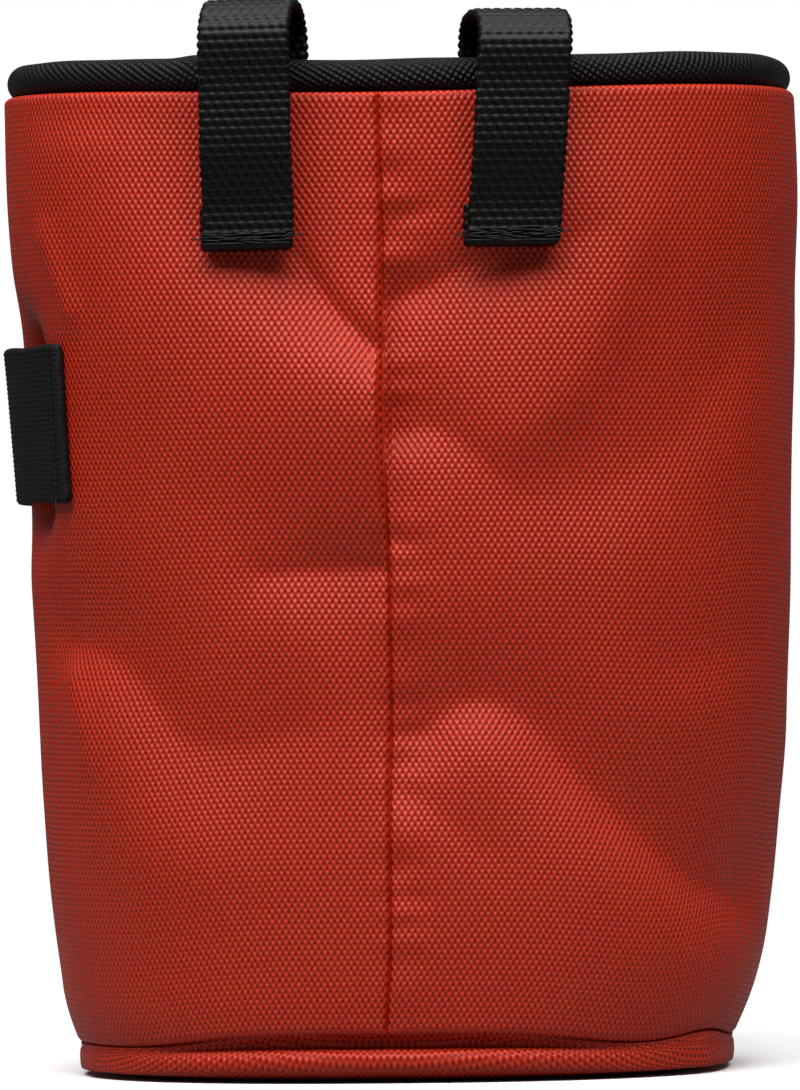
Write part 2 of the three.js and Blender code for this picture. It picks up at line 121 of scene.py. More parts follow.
FOLDS = (
    Fold(
        ((-0.265, 0.9), (-0.235, 0.86), (-0.195, 0.8), (-0.14, 0.745), (-0.08, 0.705), (-0.01, 0.685)),
        0.45, 1.25, 0.8, 1.6, 2.0,
    ),
    Fold(((-0.07, 0.82), (-0.045, 0.775), (-0.008, 0.732)), -0.3, -0.8, 0.16, 0.35, 1.3),
    Fold(
        ((0.0, 0.775), (0.035, 0.79), (0.06, 0.805), (0.105, 0.82), (0.15, 0.83), (0.195, 0.85)),
        -1.3, -0.3, 0.45, 0.5, 1.3,
    ),
    Fold(((0.12, 0.655), (0.155, 0.69), (0.185, 0.755), (0.215, 0.835)), 0.6, 0.6, 1.0, 0.5, 2.0),
    Fold(((0.0, 0.905), (0.02, 0.912)), -0.2, -0.1, 0.15, 0.15, 1.5),
    Fold(((0.0, 0.848), (0.045, 0.87)), -0.5, -0.2, 0.3, 0.22, 1.4),
    Fold(((0.0, 0.655), (0.04, 0.652), (0.08, 0.625), (0.11, 0.59)), -1.1, -0.3, 0.8, 0.45, 1.3),
    Fold(((0.0, 0.545), (0.035, 0.52)), -0.3, -0.12, 0.3, 0.22, 1.3),
    Fold(((-0.11, 0.509), (-0.07, 0.511), (-0.005, 0.513)), -0.8, -0.9, 0.5, 0.5, 1.2),
    Fold(((-0.11, 0.5), (-0.08, 0.433), (-0.045, 0.357)), 0.5, 0.3, 0.5, 0.8, 2.0),
    Fold(
        ((-0.34, 0.445), (-0.28, 0.43), (-0.235, 0.395), (-0.2, 0.35), (-0.15, 0.335), (-0.09, 0.35)),
        -1.1, -0.4, 0.9, 0.6, 1.4,
    ),
    Fold(((-0.32, 0.41), (-0.28, 0.33), (-0.235, 0.245), (-0.18, 0.22)), 0.4, 0.3, 0.8, 0.7, 2.0),
    Fold(
        (
            (0.03, 0.352), (0.055, 0.374), (0.088, 0.379), (0.126, 0.358),
            (0.172, 0.305), (0.234, 0.25), (0.3, 0.2), (0.385, 0.18),
        ),
        -1.2, -1.1, 0.9, 0.45, 1.5,
    ),
    Fold(((0.0, 0.298), (0.028, 0.283), (0.08, 0.231)), -0.4, -0.15, 0.4, 0.25, 1.4),
    Fold(((0.0, 0.209), (0.028, 0.182)), -0.25, -0.1, 0.3, 0.22, 1.4),
    Fold(((0.19, 0.59), (0.235, 0.62), (0.285, 0.667), (0.335, 0.737)), -0.35, -0.35, 0.8, 0.5, 1.8),
    Fold(((-0.33, 0.85), (-0.3, 0.777)), 0.25, 0.25, 0.2, 0.2, 2.0),
    Fold(((-0.33, 0.405), (-0.3, 0.325)), 0.2, 0.1, 0.2, 0.2, 2.0),
    Fold(((0.27, 0.417), (0.35, 0.436)), -0.25, -0.2, 0.7, 0.4, 1.8),
    Fold(((0.6, 0.74), (0.7, 0.66), (0.8, 0.64)), 0.3, 0.6, 0.5, 1.1, 2.0),
    Fold(((0.6, 0.33), (0.72, 0.28), (0.84, 0.34)), 0.4, 0.6, 0.5, 1.2, 2.0),
    Fold(((0.96, 0.72), (-0.88, 0.64), (-0.74, 0.7)), 0.6, 0.4, 0.4, 1.1, 2.0),
    Fold(((-0.92, 0.36), (-0.78, 0.28), (-0.62, 0.33)), 0.5, 0.5, 0.5, 1.2, 2.0),
)


def bell(distance: Array | float, half_width: float) -> Array | float:
    """A smooth bump, 1 in the middle."""
    return np.exp(-((distance / half_width) ** 2))


def plateau(distance: Array | float, half_width: float) -> Array | float:
    """A bump that is flatter in the middle and steeper at the edge than a bell."""
    return np.exp(-((distance / half_width) ** 4))


def smoothstep(value: Array | float, low: float, high: float) -> Array | float:
    """0 below low, 1 above high, and a smooth rise between."""
    share = np.clip((value - low) / (high - low), 0.0, 1.0)
    return share * share * (3.0 - 2.0 * share)


def lerp(start: Array | float, end: Array | float, share: Array | float) -> Array | float:
    """The value at a share of the way from start to end."""
    return start + (end - start) * share


def wrap_around(around: Array | float) -> Array | float:
    """The same place round the bag, from -1 to 1."""
    return around - 2.0 * np.round(np.asarray(around) / 2.0)


def lengths_along(first: Array, second: Array) -> Array:
    """The distance along a row of points at each of them, from their two coordinates."""
    return np.concatenate([[0.0], np.cumsum(np.hypot(np.diff(first), np.diff(second)))])


def hermite(start: Array, leave: Array, end: Array, reach: Array, share: Array) -> Array:
    """A cubic curve that leaves start and reaches end at the given rates, at a share of the way."""
    return (
        start * (2 * share**3 - 3 * share**2 + 1)
        + leave * (share**3 - 2 * share**2 + share)
        + end * (3 * share**2 - 2 * share**3)
        + reach * (share**3 - share**2)
    )


def smooth_path(points: Array, steps: int) -> Array:
    """A centripetal Catmull-Rom curve through points.

    Args:
        points: The points, one row each.
        steps: Points made for each span.

    Returns:
        The curve's points.
    """
    padded = np.vstack([2 * points[0] - points[1], points, 2 * points[-1] - points[-2]])
    made = []
    share = (np.arange(steps) / steps)[:, None]
    for before, start, end, after in zip(padded, padded[1:], padded[2:], padded[3:]):
        spans = ((before, start), (start, end), (end, after))
        first, middle, last = (math.sqrt(np.linalg.norm(later - sooner)) for sooner, later in spans)
        leave = (start - before) / first - (end - before) / (first + middle) + (end - start) / middle
        reach = (end - start) / middle - (after - start) / (middle + last) + (after - end) / last
        made.append(hermite(start, leave * middle, end, reach * middle, share))
    return np.vstack([*made, points[-1:]])


@dataclass(frozen=True)
class BagForm:
    """The wall's outer face as a function of place, in millimetres. Every piece is set against it."""

    mouth_width: float = 142.0
    mouth_depth: float = 102.0
    plan_squareness: float = 2.4
    wall_height: float = 175.1
    back_dip: float = 2.5
    back_dip_reach: float = 60.0
    top_tilt: float = 0.3
    wall_thickness: float = 1.5
    hem_thickness: float = 2.4
    hem_height: float = 6.0
    fold_height: float = 3.0
    fold_reach: float = 16.0
    fold_fade: float = 11.0
    fold_steps: int = 6
    fold_blend: int = 5
    seam_hold: float = 0.012
    seam_ease: float = 1.5
    clearance: float = 0.3
    seam_height: float = 6.0
    seam_lift: float = 2.6
    seam_lift_half_width: float = 42.0
    corner_lift: float = 1.8
    corner_place: float = 72.0
    corner_half_width: float = 13.0
    rim_radius: float = 3.2
    rim_inset: float = 3.9
    rim_swell: float = 0.5
    binding_thickness: float = 1.5
    dent_place: float = -83.0
    dent_depth: float = 8.0
    dent_half_width: float = 10.5
    dent_height: float = 116.2
    dent_half_height: float = 19.5
    quarter_steps: int = 240

    def plan_point(
        self, angle: Array, half_width: Array | float, half_depth: Array | float
    ) -> tuple[Array, Array]:
        """A point of a rounded oval in plan.

        Args:
            angle: Angle from the back towards +X.
            half_width: Half the oval's width.
            half_depth: Half its depth.

        Returns:
            The point's x and y.
        """
        across, along = np.sin(angle), -np.cos(angle)
        power = self.plan_squareness
        reach = (np.abs(across) / half_width) ** power + (np.abs(along) / half_depth) ** power
        radius = reach ** (-1.0 / power)
        return across * radius, along * radius

    @cached_property
    def quarter(self) -> tuple[Array, Array]:
        """Plan angles from the back to the side, and the distance round the mouth at each."""
        angles = np.linspace(0.0, math.pi / 2, self.quarter_steps + 1)
        x, y = self.plan_point(angles, self.mouth_width / 2, self.mouth_depth / 2)
        return angles, lengths_along(x, y)

    @property
    def half_round(self) -> float:
        """Half the distance round the mouth."""
        return float(2.0 * self.quarter[1][-1])

    def plan_angle(self, around: Array) -> Array:
        """The plan angle at a share of half the way round."""
        turned = wrap_around(around)
        share = np.abs(turned)
        beyond_side = share > 0.5
        length = np.where(beyond_side, 1.0 - share, share) * self.half_round
        angle = np.interp(length, self.quarter[1], self.quarter[0])
        return np.sign(turned) * np.where(beyond_side, math.pi - angle, angle)

    def section_at(self, height: Array) -> tuple[Array, Array, Array]:
        """The width, depth and shift shares at a height, on a smooth curve through the sections."""
        rows = np.array(SECTIONS)
        levels, values = rows[:, 0], rows[:, 1:]
        slopes = np.gradient(values, levels, axis=0)
        level = np.asarray(height) / self.wall_height
        low = np.clip(np.searchsorted(levels, level) - 1, 0, len(levels) - 2)
        span = (levels[low + 1] - levels[low])[..., None]
        part = (level - levels[low])[..., None] / span
        made = hermite(values[low], slopes[low] * span, values[low + 1], slopes[low + 1] * span, part)
        return made[..., 0], made[..., 1], made[..., 2]

    def wall_top(self, around: Array) -> Array:
        """Height of the wall's top edge."""
        turned = wrap_around(around)
        dip = self.back_dip * bell(turned * self.half_round, self.back_dip_reach)
        return self.wall_height - dip - self.top_tilt * np.sin(math.pi * turned)

    def wall_bottom(self, around: Array) -> Array:
        """Height of the wall's lower edge, which lifts in the middle of the back and at its +X corner."""
        along = wrap_around(around) * self.half_round
        arch = self.seam_lift * plateau(along, self.seam_lift_half_width)
        corner = self.corner_lift * bell(along - self.corner_place, self.corner_half_width)
        return self.seam_height + arch + corner

    @property
    def rim_lift(self) -> float:
        """Lift of the hoop's middle above the wall's top edge, so that it rests on the hem."""
        reach = self.rim_radius + self.hem_thickness / 2 + self.clearance
        return math.sqrt(reach**2 - (self.rim_inset - self.hem_thickness / 2) ** 2) - self.hem_thickness / 2

    def fold_push(self, fold: Fold, around: Array, height: Array) -> Array:
        """How far one fold pushes the wall out.

        Args:
            fold: The fold.
            around: Places round the wall.
            height: Their heights.

        Returns:
            The push at each place.
        """
        home = fold.line[0][0]

        def unrolled(place: Array | float) -> Array | float:
            """The distance round the wall, without a jump near the fold."""
            return (home + wrap_around(place - home)) * self.half_round

        x, y = unrolled(around), height
        corners = [(float(unrolled(place)), up * self.wall_height) for place, up in fold.line]
        points = smooth_path(np.array(corners), self.fold_steps)
        push, weights = np.zeros(np.shape(x)), np.zeros(np.shape(x))
        spans = len(points) - 1
        for number, ((from_x, from_y), (to_x, to_y)) in enumerate(pairwise(points)):
            run_x, run_y = to_x - from_x, to_y - from_y
            run = math.hypot(run_x, run_y)
            part = np.clip(((x - from_x) * run_x + (y - from_y) * run_y) / run**2, 0.0, 1.0)
            off_x, off_y = x - from_x - part * run_x, y - from_y - part * run_y
            distance = np.hypot(off_x, off_y)
            side = (run_x * off_y - run_y * off_x) / (run * np.maximum(distance, TINY))
            reach = self.fold_reach * lerp(fold.right, fold.left, (1.0 + side) / 2)
            size = lerp(fold.start, fold.end, (number + part) / spans)
            here = size * np.exp(-((distance / reach) ** fold.power))
            weight = (1.0 + distance**2) ** -self.fold_blend
            push, weights = push + weight * here, weights + weight
        push = self.fold_height * push / weights
        places = [place for place, _ in fold.line]
        if min(abs(place) for place in places) < self.seam_hold:
            push = push * smoothstep(math.copysign(1.0, sum(places)) * x, -self.seam_ease, self.seam_ease)
        return push

    def relief(self, around: Array, height: Array) -> Array:
        """All that moves the wall off its plain oval: the folds and the dent behind the brush band."""
        around, height = np.broadcast_arrays(np.asarray(around, float), np.asarray(height, float))
        to_edge = np.minimum(self.wall_top(around) - height, height - self.wall_bottom(around))
        pushed = sum(self.fold_push(fold, around, height) for fold in FOLDS)
        beside = wrap_around(around - self.dent_place / self.half_round) * self.half_round
        dent = self.dent_depth * bell(beside, self.dent_half_width)
        dent = dent * plateau(height - self.dent_height, self.dent_half_height)
        return smoothstep(to_edge, 0.0, self.fold_fade) * (pushed - dent)

    def oval_place(self, around: Array, height: Array) -> tuple[Array, Array]:
        """The plain oval's points and outward directions.

        Args:
            around: Places round the wall.
            height: Their heights.

        Returns:
            Points and unit directions, one row each.
        """
        around, height = np.broadcast_arrays(np.asarray(around, float), np.asarray(height, float))
        width, depth, shift = self.section_at(height)
        half_width, half_depth = width * self.mouth_width / 2, depth * self.mouth_depth / 2
        x, y = self.plan_point(self.plan_angle(around), half_width, half_depth)
        power = self.plan_squareness
        slope_x = np.sign(x) * np.abs(x) ** (power - 1) / half_width**power
        slope_y = np.sign(y) * np.abs(y) ** (power - 1) / half_depth**power
        out = np.stack([slope_x, slope_y, np.zeros_like(x)], axis=-1)
        out /= np.linalg.norm(out, axis=-1, keepdims=True)
        return np.stack([x + shift * self.mouth_width, y, height], axis=-1), out

    def inside_wall(
        self, around: Array, height: Array, inset: Array | float, level: Array | None = None
    ) -> Array:
        """Points at a distance inside the wall's outer face.

        Args:
            around: Places round the wall.
            height: Heights at which the wall's outline is taken.
            inset: Distance inside the outer face, negative outside it.
            level: Heights that the points get instead, where they differ.

        Returns:
            The points, one row each.
        """
        point, out = self.oval_place(around, height)
        push = self.relief(around, height) - inset
        point = point + out * np.asarray(push)[..., None]
        if level is not None:
            point[..., 2] = level
        return point


Placer = Callable[[Array, Array], Array]


def cloth_grid(columns: int, rows: int, place: Placer, cloth: Placer) -> bmesh.types.BMesh:
    """Lays one flat grid on its shape and gives it a map of the flat cloth.

    Args:
        columns: Faces along the grid's first direction.
        rows: Faces along its second.
        place: Gives the points in millimetres from the column and row numbers.
        cloth: Gives the places on the flat cloth in millimetres from the same.

    Returns:
        The mesh, with edges that meet merged and open ends closed.
    """
    bm = bmesh.new()
    bmesh.ops.create_grid(bm, x_segments=columns, y_segments=rows, size=0.5)
    flat = np.array([vert.co[:2] for vert in bm.verts]) + 0.5
    column, row = np.rint(flat[:, 0] * columns), np.rint(flat[:, 1] * rows)
    points, maps = place(column, row) * METRES, cloth(column, row)
    layer = bm.loops.layers.uv.new(CLOTH_MAP)
    for vert, point, mapped in zip(bm.verts, points, maps):
        vert.co = point
        for loop in vert.link_loops:
            loop[layer].uv = mapped
    bmesh.ops.remove_doubles(bm, verts=bm.verts, dist=1e-6)
    bmesh.ops.holes_fill(bm, edges=[edge for edge in bm.edges if edge.is_boundary], sides=0)
    bmesh.ops.recalc_face_normals(bm, faces=bm.faces)
    for face in bm.faces:
        face.smooth = True
    return bm


def thread_along(bm: bmesh.types.BMesh, points: Sequence[Vector], radius: float, sides: int = 6) -> None:
    """Sweeps a round thread from point to point.

    Args:
        bm: The mesh that gets the thread.
        points: The thread's middle line, in metres.
        radius: The thread's radius, in metres.
        sides: Faces round it.
    """
    frames = []
    for number, point in enumerate(points):
        ahead = points[min(number + 1, len(points) - 1)] - points[max(number - 1, 0)]
        frames.append(Matrix.Translation(point) @ ahead.to_track_quat("Z", "Y").to_matrix().to_4x4())
    made = bmesh.ops.create_circle(bm, cap_ends=True, segments=sides, radius=radius, matrix=frames[0])
    ring = list({edge for vert in made["verts"] for edge in vert.link_edges})
    for before, after in pairwise(frames):
        grown = bmesh.ops.extrude_edge_only(bm, edges=ring)["geom"]
        moved = {item for item in grown if isinstance(item, bmesh.types.BMVert)}
        bmesh.ops.transform(bm, matrix=after @ before.inverted(), verts=list(moved))
        ring = [item for item in grown if isinstance(item, bmesh.types.BMEdge) and set(item.verts) <= moved]
    bmesh.ops.contextual_create(bm, geom=ring)


def stitch(bm: bmesh.types.BMesh, start: Vector, end: Vector, radius: float) -> None:
    """Adds a stitch: a short thread, thickest in its middle, that goes into the cloth at both ends."""
    run = end - start
    turn = run.to_track_quat("Z", "Y")
    matrix = Matrix.LocRotScale((start + end) / 2, turn, Vector((radius, radius, run.length / 2)))
    bmesh.ops.create_uvsphere(bm, u_segments=6, v_segments=5, radius=1.0, matrix=matrix)


def add_object(name: str, data: bpy.types.ID) -> bpy.types.Object:
    """Makes an object and links it to the scene."""
    made = bpy.data.objects.new(name, data)
    bpy.context.scene.collection.objects.link(made)
    return made


def finish_piece(
    name: str,
    bm: bmesh.types.BMesh,
    material: bpy.types.Material,
    slot: Slot,
    nodes: Sequence[str] = (),
) -> bpy.types.Object:
    """Makes the piece's object and hands it to the frame.

    Args:
        name: The piece's name.
        bm: Its mesh, which is freed.
        material: Its finish.
        slot: The record's slot; not used.
        nodes: CAD nodes that it stands for.

    Returns:
        The piece.
    """
    mesh = bpy.data.meshes.new(name)
    bm.to_mesh(mesh)
    bm.free()
    mesh.materials.append(material)
    mesh.shade_smooth()
    piece = add_object(name, mesh)
    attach(piece, BODY)
    if nodes:
        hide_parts(*nodes)
    log.info("%s: %d faces, stands for %s", name, len(mesh.polygons), ", ".join(nodes) or "no node")
    return piece


def linear(hex_colour: str) -> tuple[float, float, float, float]:
    """An sRGB colour written as hex, in linear light."""
    parts = [int(hex_colour[start : start + 2], 16) / 255 for start in (1, 3, 5)]
    light = [part / 12.92 if part <= 0.04045 else ((part + 0.055) / 1.055) ** 2.4 for part in parts]
    return (*light, 1.0)


def add_node(
    tree: bpy.types.NodeTree, kind: str, links: dict[str | int, Links] | None = None, **settings
) -> bpy.types.Node:
    """Adds a node with its settings, values and links.

    Args:
        tree: The node tree.
        kind: The node's type.
        links: What goes into each input: another node's output, or a value.
        **settings: The node's own options.

    Returns:
        The node.
    """
    node = tree.nodes.new(kind)
    for name, value in settings.items():
        setattr(node, name, value)
    for key, value in (links or {}).items():
        if isinstance(value, bpy.types.NodeSocket):
            tree.links.new(value, node.inputs[key])
        else:
            node.inputs[key].default_value = value
    return node


def new_material(name: str) -> tuple[bpy.types.Material, bpy.types.NodeTree]:
    """An empty material and its node tree."""
    material = bpy.data.materials.new(name)
    material.use_nodes = True
    material.node_tree.nodes.clear()
    return material, material.node_tree


def set_surface(tree: bpy.types.NodeTree, links: dict[str, Links]) -> None:
    """Ends a material with its shader and output."""
    shader = add_node(tree, "ShaderNodeBsdfPrincipled", links)
    add_node(tree, "ShaderNodeOutputMaterial", {"Surface": shader.outputs["BSDF"]})


@dataclass(frozen=True)
class PlainWeave:
    """A plain weave on the flat cloth's map: each thread goes over one and under the next.

    warp_mm and weft_mm are the thread spacings across and up, turn_deg turns the cloth, and wander_mm is how
    far a thread strays from its straight line.
    """

    warp_mm: float
    weft_mm: float
    turn_deg: float = 0.0
    wander_mm: float = 0.06
    wander_every_mm: float = 5.0

    def height(self, tree: bpy.types.NodeTree) -> bpy.types.NodeSocket:
        """The cloth's height, from -1 in the gaps to 1 on the threads."""
        cloth = add_node(tree, "ShaderNodeUVMap", uv_map=CLOTH_MAP)
        links = {"Vector": cloth.outputs["UV"], "Scale": 1 / self.wander_every_mm, "Detail": 1.0}
        stray = add_node(tree, "ShaderNodeTexNoise", links, noise_dimensions="2D")
        links = {0: stray.outputs["Color"], 1: (0.5, 0.5, 0.5)}
        centred = add_node(tree, "ShaderNodeVectorMath", links, operation="SUBTRACT")
        spread = self.wander_mm / (NOISE_HIGH - 0.5)
        links = {0: centred.outputs[0], 1: (spread, spread, spread), 2: cloth.outputs["UV"]}
        shifted = add_node(tree, "ShaderNodeVectorMath", links, operation="MULTIPLY_ADD")
        links = {"Vector": shifted.outputs[0], "Rotation": (0.0, 0.0, math.radians(self.turn_deg))}
        turned = add_node(tree, "ShaderNodeMapping", links)
        links = {0: turned.outputs[0], 1: (math.pi / self.warp_mm, math.pi / self.weft_mm, 0.0)}
        phased = add_node(tree, "ShaderNodeVectorMath", links, operation="MULTIPLY")
        waves = add_node(tree, "ShaderNodeVectorMath", {0: phased.outputs[0]}, operation="SINE")
        split = add_node(tree, "ShaderNodeSeparateXYZ", {0: waves.outputs[0]})
        links = {0: split.outputs[0], 1: split.outputs[1]}
        return add_node(tree, "ShaderNodeMath", links, operation="MULTIPLY").outputs[0]


@dataclass(frozen=True)
class WovenCloth:
    """A woven cloth of smooth filament yarn.

    Its threads stand up rounded in the bump and catch the light. The gaps between them take a darker colour,
    which is painted shade in the hollows of the weave. Plain nylon and polyester have an IOR of about 1.53,
    and thick filament yarn is smoother along the thread than spun yarn.
    """

    name: str
    thread: str
    # The colour of the hollows between the threads: painted shade, not a dye of the cloth.
    gap_shade: str
    weave: PlainWeave
    gap_from: float = -0.85
    gap_to: float = 0.05
    bump_mm: float = 0.2
    bump_strength: float = 0.8
    roughness: float = 0.55
    specular: float = 0.3
    ior: float = 1.53
    blotch: float = 0.12
    blotch_mm: float = 22.0
    slub: float = 0.25
    slub_mm: float = 0.7

    def material(self) -> bpy.types.Material:
        """The finish as nodes."""
        material, tree = new_material(self.name)
        height = self.weave.height(tree)
        # Painted shade: where the weave's height falls between the threads, the darker colour is mixed in.
        links = {"Value": height, "From Min": self.gap_from, "From Max": self.gap_to}
        on_thread = add_node(tree, "ShaderNodeMapRange", links, interpolation_type="SMOOTHSTEP")
        links = {"Factor": on_thread.outputs[0], 6: linear(self.gap_shade), 7: linear(self.thread)}
        woven = add_node(tree, "ShaderNodeMix", links, data_type="RGBA")
        shade = self.unevenness(tree, self.blotch_mm, self.blotch)
        fine = self.unevenness(tree, self.slub_mm, self.slub)
        both = add_node(tree, "ShaderNodeMath", {0: shade, 1: fine}, operation="MULTIPLY")
        links = {0: woven.outputs[2], "Scale": both.outputs[0]}
        toned = add_node(tree, "ShaderNodeVectorMath", links, operation="SCALE")
        links = {"Height": height, "Strength": self.bump_strength, "Distance": self.bump_mm / 2 * METRES}
        bump = add_node(tree, "ShaderNodeBump", links)
        set_surface(
            tree,
            {
                "Base Color": toned.outputs[0],
                "Roughness": self.roughness,
                "IOR": self.ior,
                "Specular IOR Level": self.specular,
                "Normal": bump.outputs[0],
            },
        )
        return material

    @staticmethod
    def unevenness(tree: bpy.types.NodeTree, size_mm: float, amount: float) -> bpy.types.NodeSocket:
        """A factor round 1 that varies over a size on the cloth."""
        cloth = add_node(tree, "ShaderNodeUVMap", uv_map=CLOTH_MAP)
        links = {"Vector": cloth.outputs["UV"], "Scale": 1 / size_mm, "Detail": 2.0}
        noise = add_node(tree, "ShaderNodeTexNoise", links, noise_dimensions="2D")
        links = {"Value": noise.outputs[0], "From Min": NOISE_LOW, "From Max": NOISE_HIGH}
        links |= {"To Min": 1 - amount, "To Max": 1 + amount}
        return add_node(tree, "ShaderNodeMapRange", links).outputs[0]


@dataclass(frozen=True)
class SewingThread:
    """Bonded polyester sewing thread: smooth, with the twist of its plies as fine bands in the bump and
    painted shade in the grooves between them.

    A wave texture makes waves_a_unit bands over one unit of its scale.
    """

    name: str = "black_polyester_thread"
    colour: str = "#101012"
    # Painted shade: the darker colour of the grooves between the plies.
    between: str = "#050506"
    twist_mm: float = 0.5
    waves_a_unit: float = 20.0
    bump_mm: float = 0.05
    bump_strength: float = 0.4
    roughness: float = 0.42
    specular: float = 0.2

    def material(self) -> bpy.types.Material:
        """The finish as nodes."""
        material, tree = new_material(self.name)
        place = add_node(tree, "ShaderNodeTexCoord")
        scale = 1 / (self.twist_mm * METRES * self.waves_a_unit)
        links = {"Vector": place.outputs["Object"], "Scale": scale, "Distortion": 0.5}
        plies = add_node(tree, "ShaderNodeTexWave", links, bands_direction="DIAGONAL")
        # The twist grooves take the darker colour: painted shade.
        links = {"Factor": plies.outputs["Fac"], 6: linear(self.between), 7: linear(self.colour)}
        tone = add_node(tree, "ShaderNodeMix", links, data_type="RGBA")
        depth = self.bump_mm * METRES
        links = {"Height": plies.outputs["Fac"], "Strength": self.bump_strength, "Distance": depth}
        bump = add_node(tree, "ShaderNodeBump", links)
        links = {"Base Color": tone.outputs[2], "Roughness": self.roughness, "Normal": bump.outputs[0]}
        set_surface(tree, {**links, "Specular IOR Level": self.specular})
        return material


@dataclass(frozen=True)
class SweepPaper:
    """Matt white background paper, which keeps its faint tooth.

    The camera sees it burnt out, and it sends little light back up on to the cloth.
    """

    name: str = "white_background_paper"
    seen: str = "#ffffff"
    returned: str = "#8c8c8c"
    tooth_mm: float = 2.0
    bump_mm: float = 0.05
    bump_strength: float = 0.1
    roughness: float = 0.9
    specular: float = 0.1

    def material(self) -> bpy.types.Material:
        """The finish as nodes."""
        material, tree = new_material(self.name)
        place = add_node(tree, "ShaderNodeTexCoord")
        links = {"Vector": place.outputs["Object"], "Scale": 1 / (self.tooth_mm * METRES), "Detail": 2.0}
        tooth = add_node(tree, "ShaderNodeTexNoise", links)
        depth = self.bump_mm * METRES
        links = {"Height": tooth.outputs[0], "Strength": self.bump_strength, "Distance": depth}
        bump = add_node(tree, "ShaderNodeBump", links)
        ray = add_node(tree, "ShaderNodeLightPath")
        links = {"Factor": ray.outputs["Is Camera Ray"], 6: linear(self.returned), 7: linear(self.seen)}
        tone = add_node(tree, "ShaderNodeMix", links, data_type="RGBA")
        links = {"Base Color": tone.outputs[2], "Roughness": self.roughness, "Normal": bump.outputs[0]}
        set_surface(tree, {**links, "Specular IOR Level": self.specular})
        return material


# The body cloth: 1680-denier ballistic nylon in burnt orange. Its fat filament yarns give a coarse grid of
# bright rounded threads, and the deep red of the gaps between them is painted shade.
BALLISTIC_NYLON = WovenCloth(
    name="burnt_orange_ballistic_nylon",
    thread="#b32a11",
    # Painted shade in the gaps between the threads.
    gap_shade="#780801",
    weave=PlainWeave(warp_mm=0.6, weft_mm=1.0),
    bump_mm=0.27,
    bump_strength=1.0,
    roughness=0.42,
    specular=0.25,
    slub=0.15,
    blotch=0.04,
)

# The binding: black nylon of the same family, cut off the grain, so its rows run slantwise round the roll.
RIM_BINDING = WovenCloth(
    name="black_nylon_bias_binding",
    thread="#0e0e10",
    # Painted shade in the gaps between the threads.
    gap_shade="#010101",
    weave=PlainWeave(warp_mm=0.7, weft_mm=0.68, turn_deg=-13.0),
    bump_mm=0.4,
    bump_strength=1.0,
    roughness=0.45,
    specular=0.13,
    blotch=0.05,
)

# The webbing: black nylon in a ribbed plain weave. Its ribs and yarn bundles are in the mesh, and the finish
# adds the fine filaments, with painted shade in the gaps between them.
LOOP_WEBBING = WovenCloth(
    name="black_nylon_webbing",
    thread="#0e0e0f",
    # Painted shade in the gaps between the yarns.
    gap_shade="#010101",
    weave=PlainWeave(warp_mm=0.9, weft_mm=1.5),
    bump_mm=0.15,
    roughness=0.4,
    specular=0.13,
    blotch=0.05,
)

# The elastic: covered rubber strands across fine ribs, matt and dense.
BAND_ELASTIC = WovenCloth(
    name="black_ribbed_elastic",
    thread="#161619",
    # Painted shade in the gaps between the strands.
    gap_shade="#09090b",
    weave=PlainWeave(warp_mm=0.5, weft_mm=0.45),
    bump_mm=0.1,
    roughness=0.75,
    specular=0.15,
)


